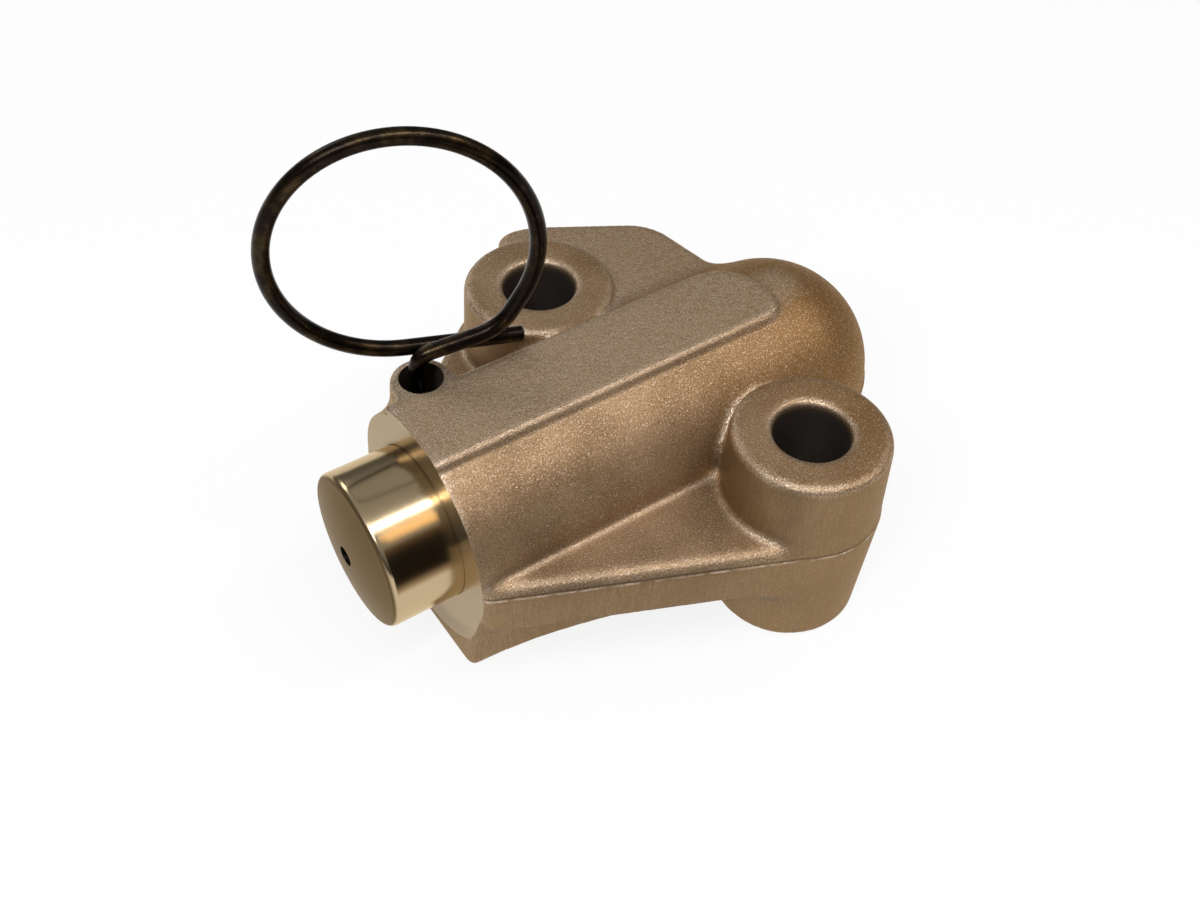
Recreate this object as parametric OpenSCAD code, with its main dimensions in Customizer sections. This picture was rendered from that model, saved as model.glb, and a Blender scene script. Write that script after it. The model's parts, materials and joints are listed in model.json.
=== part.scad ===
// Hydraulic timing chain tensioner with a ratchet plunger and a pull-ring lock pin.
// Millimetres. The origin is the middle of the two bolt holes on the mounting face (z = 0).
// +X is the way the plunger moves out, +Y is towards the near lug and +Z is away from the mounting face.

/* [Bolt holes] */
// Distance between the two bolt holes
bolt_spacing = 38; // [34:0.5:42]
// Turn of the bolt hole line away from square to the bore, in degrees
bolt_turn = 18; // [12:1:24]
// Bolt hole diameter, clearance for an 8 mm screw
bolt_hole_d = 8.6; // [6.6:0.1:9]
// Chamfer at both mouths of a bolt hole
bolt_hole_chamfer = 0.5; // [0.2:0.1:0.8]

/* [Lugs] */
// Height of the lugs above the mounting face
lug_h = 25.7; // [22:0.1:27]
// Lug diameter at the top
lug_top_d = 17.9; // [15:0.1:19]
// Lug diameter at the parting plane
lug_parting_d = 18.6; // [16:0.1:20]
// Lug diameter on the mounting face
lug_base_d = 16.8; // [14:0.1:18]
// Round on the top edge of a lug
lug_edge_r = 1.2; // [0.5:0.1:2]

/* [Barrel] */
// Height of the bore axis above the mounting face, where the mould parts
bore_h = 15.5; // [14.5:0.1:18]
// Distance from the bolt hole middle forward to the front face
face_x = 31.7; // [29:0.1:35]
// Distance of the bore axis from the bolt hole middle, towards the far lug
bore_y = 1.3; // [0:0.1:3]
// Wall of the barrel round the bore
barrel_wall = 3.65; // [3.3:0.05:4.5]
// Straight barrel behind the bottom of the bore
barrel_tail = 3.7; // [2:0.1:6]
// How much narrower the foot is than the barrel, on each side
foot_inset = 2.95; // [1.5:0.05:4]
// Tuck of the foot under the barrel's side at the parting plane
foot_tuck = 0.15; // [0.1:0.05:0.4]
// Cast lip of the foot that stands proud of the machined front face
foot_lip = 0.5; // [0.2:0.1:1.2]
// Margin of the machined front face round the barrel
spotface_margin = 0.8; // [0.4:0.1:1.5]
// Round on the lower edges of the foot
foot_edge_r = 1.6; // [0.5:0.1:2]

/* [Raised pad] */
// Rise of the pad over the crown of the barrel
pad_rise = 0.1; // [0:0.05:0.6]
// Reach of the pad from the bore axis towards the near lug
pad_near = 4.7; // [3:0.1:6]
// Reach of the pad from the bore axis towards the far lug
pad_far = 6.3; // [5:0.1:7]
// How far the pad stops short of the straight barrel's end
pad_short = 1.2; // [0:0.1:3]
// Rear corner radius of the pad on the near side
pad_near_r = 3; // [1:0.5:4]
// Rear corner radius of the pad on the far side
pad_far_r = 6; // [4:0.5:6.5]

/* [Webs] */
// Height of the webs' underside above the mounting face
web_under = 9.3; // [8:0.1:11]
// Rise of the webs' top over the parting plane
web_rise = 1.2; // [0.6:0.1:2]
// Round on the outer edge of a web
web_edge_r = 1.1; // [0.5:0.1:1.5]
// Flare of the near web beside the barrel, at the front face
web_flare = 0.6; // [0.2:0.1:1.5]
// Distance of the far web's front edge behind the front face, at the barrel
far_web_back = 4.5; // [4:0.5:10]
// Margin of the far web's edge outside the far lug
far_web_margin = 1.2; // [0:0.1:2]
// Radius of the hollow wall under the near web, from the foot to the near lug
rib_r = 115; // [60:1:150]
// Casting fillet where the webs meet the barrel and the lugs
fillet_r = 1.4; // [1:0.1:4]
// Bite of those fillets into the faces that they join
fillet_bite = 0.06; // [0.03:0.01:0.1]

/* [Far plate] */
// Step from the top of the far lug down to the plate
plate_step = 1.3; // [0.6:0.1:3]
// Reach of the plate's corner beyond the far lug's axis
plate_reach = 15.3; // [13:0.1:18]
// Distance of the plate's heel behind the far lug's axis
plate_heel_back = 19.5; // [17:0.1:22]
// Distance of the plate's heel beyond the far lug's axis
plate_heel_out = 4.2; // [2:0.1:7]
// Distance of the plate's rear end behind the straight barrel
plate_tail = 1.2; // [0:0.1:3]
// Radius of the plate's far corner
plate_corner_r = 4; // [2:0.5:5]
// Radius of the plate's heel
plate_heel_r = 6; // [4:0.5:8]
// Wall round the oil pocket under the plate
pocket_wall = 3.2; // [2.5:0.1:4]
// Roof of the oil pocket under the plate
pocket_roof = 4; // [3:0.1:6]

/* [Plunger] */
// Plunger diameter
plunger_d = 18; // [16:0.1:19]
// Plunger length over the crown
plunger_len = 46; // [42:0.5:50]
// How far the locked plunger stands out of the front face
plunger_out = 9.4; // [7:0.1:12]
// Wall of the hollow plunger
plunger_wall = 2.75; // [2.2:0.05:3.2]
// Thickness of the crown on the axis
crown_t = 4.4; // [3:0.1:6]
// Radius of the domed crown
crown_r = 34; // [25:1:60]
// Chamfer round the crown
rim_chamfer = 0.5; // [0.2:0.1:1]
// Vent hole in the crown
vent_d = 1.6; // [1:0.1:2.5]
// Radial running clearance of the plunger in its bore
plunger_clearance = 0.05; // [0.02:0.01:0.1]
// Free bore behind the locked plunger
bore_reserve = 7.4; // [6.5:0.1:12]

/* [Ratchet] */
// Notches on the plunger
notch_count = 6; // [4:1:7]
// Distance from notch to notch
notch_pitch = 3; // [2.8:0.1:3.5]
// Depth of a notch
notch_depth = 0.9; // [0.6:0.05:1]
// Wire diameter of the ratchet clip
clip_wire_d = 1.6; // [1.4:0.05:1.7]
// Distance of the clip behind the front face
clip_back = 5; // [4.5:0.1:6]
// Play of the clip in its groove and in a notch, front to back
clip_play = 0.25; // [0.1:0.05:0.4]
// Gap between the clip and what it lies in, all round
clip_gap = 0.05; // [0.03:0.01:0.15]
// Angle from the near side at which the clip turns up into its tang
clip_leave = 143; // [141:1:150]
// Opening between the clip's ends, in degrees
clip_opening = 50; // [35:1:70]
// Bend radius of the tang
clip_bend_r = 2; // [1.5:0.1:2.5]
// Straight length of the tang
clip_tang = 4.2; // [3:0.1:5]

/* [Lock pin] */
// Wire diameter of the lock pin
pin_wire_d = 1.8; // [1.5:0.05:2]
// Gap between the pin's leg and the clip's tang
pin_gap = 0.12; // [0.05:0.01:0.2]
// Room in the pin hole on each side of the two wires
pin_hole_room = 0.7; // [0.4:0.05:1]
// Wall of the boss round the pin hole
pin_boss_wall = 1; // [0.6:0.05:1.5]
// Widening of the boss from its top down to the parting plane
pin_boss_draft = 0.6; // [0.2:0.1:1]
// Straight leg above the pad
pin_leg_rise = 0.6; // [0.4:0.1:3]
// Radius of the bend at the top of the leg
pin_bend_r = 2.2; // [1.6:0.1:3]
// Angle of that bend
pin_bend = 75; // [65:1:80]
// Straight wire after that bend
pin_reach = 5.3; // [4:0.1:8]
// Radius of the elbow that leads into the ring
elbow_r = 6; // [4:0.5:8]
// Angle of that elbow
elbow = 45; // [35:1:50]
// Straight wire after the elbow
elbow_reach = 2.2; // [1:0.1:4]
// Radius of the pull ring, to the middle of the wire
ring_r = 13.7; // [11:0.1:16]
// Angle that the ring runs round
ring_sweep = 298; // [290:1:300]
// Sideways set of the ring's free end behind its start
ring_set = 2.1; // [2.05:0.05:3]
// Straight free end of the ring
ring_end = 13; // [8:0.5:15]
// Turn of the ring's plane away from the plunger axis, in degrees
ring_turn = 160; // [150:1:170]

/* [Spring and filler] */
// Wire diameter of the plunger spring
spring_wire_d = 1.4; // [1.1:0.05:1.6]
// Turns of the plunger spring
spring_turns = 16; // [12:1:18]
// Gap between the plunger spring and the plunger's inside
spring_gap = 0.45; // [0.3:0.05:0.7]
// Gap between the plunger spring and what stands inside it
core_gap = 0.6; // [0.4:0.05:0.9]
// Thickness of the vent disc
vent_disc_t = 1.2; // [0.8:0.1:2]
// Thickness of the filler's flange
filler_flange_t = 1.5; // [1:0.1:3]
// Gap between the filler and the valve cage
filler_gap = 8; // [5:0.5:12]
// Gap round the disc and flange inside the plunger
disc_gap = 0.15; // [0.05:0.05:0.3]

/* [Check valve] */
// Rim of the valve seat outside the plunger spring
seat_rim = 1.2; // [0.8:0.1:2]
// Thickness of the valve seat
seat_t = 3; // [2.5:0.1:4]
// Gap round the seat in its counterbore
seat_gap = 0.03; // [0.02:0.01:0.06]
// Depth of the seat's face below the bottom of the bore
seat_drop = 0.2; // [0.1:0.05:0.5]
// Width of the seat's mouth outside the circle where the ball touches
seat_mouth_margin = 0.5; // [0.3:0.05:0.7]
// Lap of the ball over the seat's hole
seat_lap = 0.8; // [0.6:0.05:1]
// Gap between the ball and its seat
ball_gap = 0.02; // [0.01:0.01:0.05]
// Room for the ball on each side in the cage
ball_room = 0.8; // [0.5:0.05:1]
// Sheet thickness of the cage
cage_t = 0.6; // [0.4:0.05:0.8]
// Space over the ball for its lift and its spring
cage_space = 2.2; // [1.8:0.1:3]
// Windows in the cage
cage_windows = 3; // [2:1:4]
// Width of a cage window
cage_window_w = 2.4; // [1.5:0.1:3]
// Wire diameter of the valve spring
valve_wire_d = 0.35; // [0.25:0.05:0.45]
// Turns of the valve spring
valve_turns = 4; // [3:1:4]
// Mean radius of the valve spring
valve_spring_r = 1.5; // [1.3:0.05:1.7]

/* [Oil feed] */
// Feed hole from the mounting face
feed_d = 4; // [3:0.1:5]
// Chamber behind the valve seat
chamber_d = 8; // [6:0.1:9]
// Length of that chamber
chamber_len = 4.4; // [4:0.1:6]
// Depth of the oil groove in the mounting face
groove_depth = 1.5; // [0.8:0.1:2]
// Length of that groove
groove_len = 14; // [10:0.5:18]
// Margin of that groove on each side of the feed hole
groove_margin = 1; // [0.5:0.1:1.5]

/* [Hidden] */
$fn = 96;
wire_sides = 12;
spring_sides = 6;
spring_steps = 16;
bend_step = 7.5;
cut = 1;

// Colours of the finishes
cast_alloy = [0.46, 0.36, 0.25];
ground_steel = [0.62, 0.54, 0.42];
valve_steel = [0.66, 0.66, 0.68];
dark_wire = [0.10, 0.08, 0.06];
nylon = [0.85, 0.82, 0.74];

// Bore and barrel
bore_d = plunger_d + 2 * plunger_clearance;
bore_depth = plunger_len - plunger_out + bore_reserve;
barrel_d = bore_d + 2 * barrel_wall;
barrel_len = bore_depth + barrel_tail;
pad_top = bore_h + barrel_d / 2 + pad_rise;
foot_w = barrel_d - 2 * foot_inset;
web_top = bore_h + web_rise;
plate_top = lug_h - plate_step;

// Lug axes in plan, measured from the middle of the front face
near_lug = lug_at(1);
far_lug = lug_at(-1);

// Plunger inside and what fits in it
plunger_bore_d = plunger_d - 2 * plunger_wall;
crown_drop = crown_r - sqrt(crown_r * crown_r - plunger_d * plunger_d / 4);
crown_inside = plunger_out - crown_t;
spring_od = plunger_bore_d - 2 * spring_gap;
spring_id = spring_od - 2 * spring_wire_d;
core_d = spring_id - 2 * core_gap;
disc_d = plunger_bore_d - 2 * disc_gap;
filler_front = crown_inside - vent_disc_t;
spring_front = filler_front - filler_flange_t;

// Check valve, from the bottom of the bore
seat_d = spring_od + 2 * seat_rim;
seat_front = -bore_depth - seat_drop;
ball_d = core_d - 2 * cage_t - 2 * ball_room;
seat_hole_d = ball_d - 2 * seat_lap;
ball_touch = ball_d / 2 * cos(45);
seat_mouth_d = 2 * (ball_touch + seat_mouth_margin);
ball_x = seat_front - seat_mouth_margin + ball_touch + ball_gap;
cage_roof = ball_x + ball_d / 2 + cage_space;
spring_rear = seat_front + cage_t;
chamber_end = seat_front - seat_t - chamber_len;
groove_w = feed_d + 2 * groove_margin;

// Ratchet clip and lock pin, in the plane across the bore at the clip
notch_r = plunger_d / 2 - notch_depth;
clip_r = notch_r + clip_gap + clip_wire_d / 2;
clip_groove_r = clip_r + clip_wire_d / 2 + notch_depth + 3 * clip_gap;
clip_groove_w = clip_wire_d + clip_play;
tang_y = (clip_r + clip_bend_r) * cos(clip_leave) + clip_bend_r;
tang_z = (clip_r + clip_bend_r) * sin(clip_leave);
leg_y = tang_y - clip_wire_d / 2 - pin_gap - pin_wire_d / 2;
leg_bottom = bore_h + tang_z + pin_gap;
pin_hole_y = (tang_y - clip_wire_d / 2 + leg_y + pin_wire_d / 2) / 2 - (pin_wire_d - clip_wire_d) / 2;
pin_hole_d = clip_wire_d + pin_wire_d + pin_gap + 2 * pin_hole_room;
pin_boss_d = pin_hole_d + 2 * pin_boss_wall;

// Plan place of a bolt hole from the middle of the front face: 1 is the near lug, -1 the far one
function lug_at(side) = [
    -side * sin(bolt_turn) * bolt_spacing / 2 - face_x,
    side * cos(bolt_turn) * bolt_spacing / 2 + bore_y
];

function unit(v) = v / norm(v);

// Radius of a lug at a height above the parting plane
function lug_r(height) =
    (lug_parting_d + (lug_top_d - lug_parting_d) * (height - bore_h) / (lug_h - lug_edge_r - bore_h)) / 2;

// Point where a line from p touches the circle round c, on the side given by turn (1 or -1)
function touch_point(p, c, r, turn) =
    let (away = p - c, angle = atan2(away.y, away.x) + turn * acos(r / norm(away)))
    c + r * [cos(angle), sin(angle)];

// Moves children to the middle of the front face, at the height of the mounting face
module at_face() {
    translate([face_x, -bore_y, 0])
        children();
}

// Lays children on the bore axis at x from the front face: their Z runs out of the bore, their Y up
module on_bore(x) {
    at_face()
        translate([x, 0, bore_h])
            rotate([90, 0, 90])
                children();
}

// Polygon with a round at each corner that has a radius; the corners run anticlockwise and bulge outwards
module rounded_outline(corners, radii) {
    n = len(corners);
    legs = [for (i = [0 : n - 1]) [
        unit(corners[(i + n - 1) % n] - corners[i]),
        unit(corners[(i + 1) % n] - corners[i])
    ]];
    half = [for (leg = legs) acos(leg[0] * leg[1]) / 2];
    polygon([for (i = [0 : n - 1]) for (leg = legs[i]) corners[i] + leg * radii[i] / tan(half[i])]);
    for (i = [0 : n - 1])
        if (radii[i] > 0)
            translate(corners[i] + unit(legs[i][0] + legs[i][1]) * radii[i] / sin(half[i]))
                circle(radii[i]);
}

// Closed tube of wire along path; ref is a direction that the path never runs along
module wire_along(path, d, ref, sides) {
    n = len(path);
    rings = [
        for (i = [0 : n - 1])
            let (
                along = unit(path[min(i + 1, n - 1)] - path[max(i - 1, 0)]),
                u = unit(cross(ref, along)),
                v = cross(along, u)
            )
            for (k = [0 : sides - 1])
                path[i] + d / 2 * (cos(360 * k / sides) * u + sin(360 * k / sides) * v)
    ];
    walls = [
        for (i = [0 : n - 2])
            for (k = [0 : sides - 1])
                let (next = (k + 1) % sides)
                [i * sides + k, (i + 1) * sides + k, (i + 1) * sides + next, i * sides + next]
    ];
    start_cap = [for (k = [0 : sides - 1]) k];
    end_cap = [for (k = [sides - 1 : -1 : 0]) (n - 1) * sides + k];
    polyhedron(rings, concat([start_cap], walls, [end_cap]), convexity = 10);
}

// Coil path along Z from low to high, with one closed turn at each end
function coil(low, high, r, wire, turns) =
    let (bottom = low + wire / 2, top = high - wire / 2, pitch = (top - bottom - 2 * wire) / (turns - 2))
    [
        for (i = [0 : turns * spring_steps])
            let (
                turn = i / spring_steps,
                open = min(max(turn - 1, 0), turns - 2),
                z = bottom + wire * (min(turn, 1) + max(turn - turns + 1, 0)) + pitch * open
            )
            [r * cos(360 * turn), r * sin(360 * turn), z]
    ];

// Path of a bent wire in its own plane: each bend is [straight feed, radius, turn, sideways set]
function bent_wire(bends, tail, p, heading, set = 0, i = 0) =
    i == len(bends)
        ? [[p.x, set, p.y], [p.x + tail * cos(heading), set, p.y + tail * sin(heading)]]
        : let (
            bend = bends[i],
            q = p + bend[0] * [cos(heading), sin(heading)],
            side = sign(bend[2]),
            c = q + side * bend[1] * [-sin(heading), cos(heading)],
            steps = ceil(abs(bend[2]) / bend_step),
            arc = [
                for (k = [1 : steps])
                    let (h = heading + bend[2] * k / steps)
                    concat(c + side * bend[1] * [sin(h), -cos(h)], set + bend[3] * k / steps)
            ],
            last = arc[steps - 1]
        )
        concat(
            bend[0] > 0 ? [[p.x, set, p.y], [q.x, set, q.y]] : [[p.x, set, p.y]],
            [for (k = [0 : steps - 2]) [arc[k].x, arc[k].z, arc[k].y]],
            bent_wire(bends, tail, [last.x, last.y], heading + bend[2], last.z, i + 1)
        );

// Solid of revolution of a bolt lug, drafted both ways from the parting plane
module lug(place) {
    translate(place)
        rotate_extrude() {
            polygon([
                [0, 0],
                [lug_base_d / 2, 0],
                [lug_parting_d / 2, bore_h],
                [lug_top_d / 2, lug_h - lug_edge_r],
                [lug_top_d / 2 - lug_edge_r, lug_h],
                [0, lug_h]
            ]);
            translate([lug_top_d / 2 - lug_edge_r, lug_h - lug_edge_r])
                circle(lug_edge_r);
        }
}

// Fillet that runs round a lug where it stands on a web
module lug_fillet(place) {
    inner = lug_r(web_top + fillet_r) - fillet_bite;
    translate([place.x, place.y, web_top - fillet_bite])
        rotate_extrude()
            difference() {
                square([inner + fillet_r, fillet_r]);
                translate([inner + fillet_r, fillet_r])
                    circle(fillet_r);
            }
}

// Fillet along the barrel where its near side meets the web
module barrel_fillet() {
    reach = barrel_d / 2 + fillet_r - fillet_bite;
    rise = web_rise + fillet_r - fillet_bite;
    run = sqrt(reach * reach - rise * rise);
    on_bore(-barrel_len)
        linear_extrude(barrel_len)
            difference() {
                translate([0, rise - fillet_r])
                    square([run, fillet_r]);
                translate([run, rise])
                    circle(fillet_r);
            }
}

// Plan of the near web: from the front face to the near lug and back to the tail of the barrel
module near_web_plan() {
    front = [0, barrel_d / 2 + web_flare];
    rear = [-barrel_len - barrel_d / 4, barrel_d / 4];
    polygon([
        [0, 0],
        front,
        touch_point(front, near_lug, lug_base_d / 2, 1),
        near_lug,
        touch_point(rear, near_lug, lug_base_d / 2, -1),
        rear
    ]);
}

// Plan of the far web: from the barrel to the far lug
module far_web_plan() {
    front = [-far_web_back, -barrel_d / 2];
    touch_r = lug_parting_d / 2 + far_web_margin;
    polygon([
        [-far_web_back, 0],
        [far_lug.x, 0],
        far_lug,
        far_lug + [0, -touch_r],
        touch_point(front, far_lug, touch_r, -1),
        front
    ]);
    translate(far_lug)
        circle(touch_r);
}

// Plan corners of the far plate
plate_corners = [
    [far_lug.x, 0],
    [-barrel_len - plate_tail, 0],
    far_lug + [-plate_heel_back, -plate_heel_out],
    far_lug + [0, -plate_reach]
];

// Corners moved in so that every edge lies w further inside
function drawn_in(corners, w) =
    let (n = len(corners))
    [
        for (i = [0 : n - 1])
            let (
                back = unit(corners[(i + n - 1) % n] - corners[i]),
                on = unit(corners[(i + 1) % n] - corners[i]),
                half = acos(back * on) / 2
            )
            corners[i] + unit(back + on) * w / sin(half)
    ];

module near_web() {
    front = [0, barrel_d / 2 + web_flare];
    along = touch_point(front, near_lug, lug_base_d / 2, 1) - front;
    at_face()
        difference() {
            translate([0, 0, web_under])
                linear_extrude(web_top - web_under)
                    near_web_plan();
            translate([front.x, front.y, web_top])
                rotate([0, 0, atan2(along.y, along.x)])
                    edge_cutter(web_edge_r, norm(along));
        }
    intersection() {
        union() {
            barrel_fillet();
            at_face()
                lug_fillet(near_lug);
        }
        at_face()
            translate([0, 0, web_under])
                linear_extrude(lug_h)
                    near_web_plan();
    }
}

// Takes an edge along X off round: the solid lies on the +Y side, below
module edge_cutter(r, length) {
    translate([-cut, 0, 0])
        rotate([90, 0, 90])
            linear_extrude(length + 2 * cut)
                difference() {
                    translate([-cut, -r])
                        square([r + cut, r + cut]);
                    translate([r, -r])
                        circle(r);
                }
}

// Wall under the near web that ties the foot to the near lug, hollowed outside by a large radius
module near_rib() {
    front = [0, foot_w / 2];
    lug_end = near_lug + lug_base_d / 2 * unit(front - near_lug);
    chord = lug_end - front;
    bulge = sqrt(rib_r * rib_r - chord * chord / 4);
    centre = (front + lug_end) / 2 + bulge * unit([chord.y, -chord.x]);
    at_face()
        linear_extrude(web_under + web_rise)
            difference() {
                polygon([[0, 0], front, lug_end, near_lug, [near_lug.x, 0]]);
                translate(centre)
                    circle(rib_r);
            }
}

module far_web() {
    at_face() {
        translate([0, 0, web_under])
            linear_extrude(web_top - web_under)
                far_web_plan();
        intersection() {
            lug_fillet(far_lug);
            translate([0, 0, web_under])
                linear_extrude(lug_h)
                    far_web_plan();
        }
    }
}

module far_plate() {
    radii = [0, 0, plate_heel_r, plate_corner_r];
    at_face()
        difference() {
            linear_extrude(plate_top)
                rounded_outline(plate_corners, radii);
            difference() {
                translate([0, 0, -cut])
                    linear_extrude(plate_top - pocket_roof + cut)
                        polygon(drawn_in(plate_corners, pocket_wall));
                translate(far_lug)
                    cylinder(d = lug_parting_d, h = lug_h);
                translate([-barrel_len - barrel_d, -barrel_d / 2, 0])
                    cube([barrel_len + barrel_d, barrel_d, lug_h]);
            }
        }
}

// Lower half of the body: a drafted foot with a round rear end
module foot() {
    intersection() {
        on_bore(-barrel_len - barrel_d)
            linear_extrude(barrel_len + barrel_d + foot_lip)
                polygon([
                    [-foot_w / 2, -bore_h],
                    [foot_w / 2, -bore_h],
                    [barrel_d / 2 - foot_tuck, 0],
                    [foot_tuck - barrel_d / 2, 0]
                ]);
        at_face()
            linear_extrude(bore_h) {
                translate([-barrel_len, -barrel_d / 2])
                    square([barrel_len + foot_lip, barrel_d]);
                translate([-barrel_len, 0])
                    circle(d = barrel_d - 2 * foot_tuck);
            }
    }
}

module barrel() {
    on_bore(-barrel_len) {
        cylinder(d = barrel_d, h = barrel_len);
        sphere(d = barrel_d);
    }
}

module pad() {
    rear = pad_short - barrel_len;
    at_face()
        translate([0, 0, bore_h])
            linear_extrude(pad_top - bore_h)
                rounded_outline(
                    [[0, -pad_far], [0, pad_near], [rear, pad_near], [rear, -pad_far]],
                    [0, 0, pad_near_r, pad_far_r]
                );
}

module pin_boss() {
    at_face()
        translate([-clip_back, pin_hole_y, bore_h])
            cylinder(d1 = pin_boss_d + 2 * pin_boss_draft, d2 = pin_boss_d, h = pad_top - bore_h);
}

// Everything that is bored, drilled or milled into the casting
module housing_cuts() {
    on_bore(-bore_depth)
        cylinder(d = bore_d, h = bore_depth + 2 * cut);
    on_bore(-clip_back - clip_groove_w / 2)
        cylinder(r = clip_groove_r, h = clip_groove_w);
    on_bore(seat_front - seat_t)
        cylinder(d = seat_d + 2 * seat_gap, h = seat_t + seat_drop + cut);
    on_bore(chamber_end)
        cylinder(d = chamber_d, h = chamber_len + cut);
    on_bore(0)
        cylinder(d = barrel_d + 2 * spotface_margin, h = foot_lip + cut);
    at_face() {
        translate([-clip_back, pin_hole_y, bore_h + plunger_d / 4])
            cylinder(d = pin_hole_d, h = pad_top);
        translate([chamber_end + chamber_len / 2, 0, -cut])
            cylinder(d = feed_d, h = bore_h + cut);
        translate([chamber_end + chamber_len / 2, 0, -cut])
            linear_extrude(groove_depth + cut) {
                circle(d = groove_w);
                translate([0, -groove_w / 2])
                    square([groove_len, groove_w]);
                translate([groove_len, 0])
                    circle(d = groove_w);
            }
        translate([foot_lip, barrel_d, 0])
            mirror([0, 0, 1])
                rotate(-90)
                    mirror([0, 1, 0])
                        edge_cutter(foot_edge_r, 2 * barrel_d);
    }
    for (side = [-1, 1])
        at_face()
            translate(lug_at(side))
                bolt_hole();
}

module bolt_hole() {
    mouth = bolt_hole_d + 2 * bolt_hole_chamfer;
    translate([0, 0, -cut])
        cylinder(d = bolt_hole_d, h = lug_h + 2 * cut);
    translate([0, 0, lug_h - bolt_hole_chamfer])
        cylinder(d1 = bolt_hole_d, d2 = mouth, h = bolt_hole_chamfer);
    cylinder(d1 = mouth, d2 = bolt_hole_d, h = bolt_hole_chamfer);
}

module housing() {
    color(cast_alloy)
        difference() {
            union() {
                foot();
                barrel();
                pad();
                pin_boss();
                near_web();
                near_rib();
                far_web();
                far_plate();
                at_face() {
                    lug(near_lug);
                    lug(far_lug);
                }
            }
            housing_cuts();
        }
}

// Hollow piston with saw-tooth notches: square towards the crown, sloped towards the rear
module plunger() {
    notch_w = clip_wire_d + clip_play;
    rim = plunger_out - crown_drop;
    outside = [
        for (i = [0 : notch_count - 1])
            let (x = -clip_back - i * notch_pitch)
            for (p = [
                [plunger_d / 2, x + notch_w / 2],
                [notch_r, x + notch_w / 2],
                [notch_r, x - notch_w / 2],
                [plunger_d / 2, x - notch_w / 2 - notch_depth]
            ])
                p
    ];
    rear = plunger_out - plunger_len;
    color(ground_steel)
        on_bore(0)
            difference() {
                intersection() {
                    rotate_extrude()
                        polygon(concat(
                            [
                                [0, plunger_out + cut],
                                [plunger_d / 2 - rim_chamfer, plunger_out + cut],
                                [plunger_d / 2 - rim_chamfer, rim],
                                [plunger_d / 2, rim - rim_chamfer]
                            ],
                            outside,
                            [
                                [plunger_d / 2, rear + rim_chamfer],
                                [plunger_d / 2 - rim_chamfer, rear],
                                [plunger_bore_d / 2, rear],
                                [plunger_bore_d / 2, crown_inside],
                                [0, crown_inside]
                            ]
                        ));
                    translate([0, 0, plunger_out - crown_r])
                        sphere(crown_r);
                }
                translate([0, 0, crown_inside - cut])
                    cylinder(d = vent_d, h = crown_t + 2 * cut);
            }
}

// Disc under the crown: a round throttle groove leads to the vent hole
module vent_disc() {
    color(nylon)
        on_bore(filler_front)
            difference() {
                cylinder(d = disc_d, h = vent_disc_t);
                translate([0, 0, vent_disc_t / 2])
                    rotate_extrude()
                        translate([disc_d / 4, 0])
                            square([vent_disc_t / 2, vent_disc_t]);
                translate([0, -vent_disc_t / 4, vent_disc_t / 2])
                    cube([disc_d, vent_disc_t / 2, vent_disc_t]);
                translate([-disc_d / 4 - vent_disc_t / 2, -vent_disc_t / 4, vent_disc_t / 2])
                    cube([disc_d / 4 + vent_disc_t / 2, vent_disc_t / 2, vent_disc_t]);
            }
}

// Filler with a flange for the spring and flats for the oil
module volume_reducer() {
    rear = cage_roof + cage_t + filler_gap;
    flat = core_d / 2 - spring_wire_d / 2;
    color(nylon)
        on_bore(0) {
            translate([0, 0, spring_front])
                cylinder(d = disc_d, h = filler_flange_t);
            difference() {
                translate([0, 0, rear])
                    cylinder(d = core_d, h = spring_front - rear);
                for (side = [0, 180])
                    rotate(side)
                        translate([flat, -core_d, rear - cut])
                            cube([core_d, 2 * core_d, spring_front - rear]);
            }
        }
}

module plunger_spring() {
    r = (spring_od - spring_wire_d) / 2;
    color(valve_steel)
        on_bore(0)
            wire_along(
                coil(spring_rear, spring_front, r, spring_wire_d, spring_turns),
                spring_wire_d, [0, 0, 1], spring_sides
            );
}

// Seat with a through hole and a 45 degree mouth for the ball
module check_valve_seat() {
    mouth_depth = (seat_mouth_d - seat_hole_d) / 2;
    color(valve_steel)
        on_bore(seat_front - seat_t)
            difference() {
                cylinder(d = seat_d, h = seat_t);
                translate([0, 0, -cut])
                    cylinder(d = seat_hole_d, h = seat_t + 2 * cut);
                translate([0, 0, seat_t - mouth_depth])
                    cylinder(d1 = seat_hole_d, d2 = seat_mouth_d, h = mouth_depth);
            }
}

module check_valve_ball() {
    color(ground_steel)
        on_bore(ball_x)
            sphere(d = ball_d);
}

module check_valve_spring() {
    color(valve_steel)
        on_bore(0)
            wire_along(
                coil(
                    ball_x + sqrt(pow(ball_d / 2 + valve_wire_d, 2) - pow(valve_spring_r, 2)),
                    cage_roof, valve_spring_r, valve_wire_d, valve_turns
                ),
                valve_wire_d, [0, 0, 1], spring_sides
            );
}

// Pressed cup with a flange under the plunger spring and windows for the oil
module check_valve_cage() {
    cup_h = cage_roof - seat_front;
    window_h = cup_h - 3 * cage_t;
    color(valve_steel)
        on_bore(seat_front)
            difference() {
                union() {
                    cylinder(d = seat_d - 2 * cage_t, h = cage_t);
                    cylinder(d = core_d, h = cup_h + cage_t);
                }
                translate([0, 0, -cut])
                    cylinder(d = core_d - 2 * cage_t, h = cup_h + cut);
                for (i = [0 : cage_windows - 1])
                    rotate(360 * i / cage_windows)
                        translate([0, -cage_window_w / 2, 2 * cage_t])
                            cube([core_d, cage_window_w, window_h]);
            }
}

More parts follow.
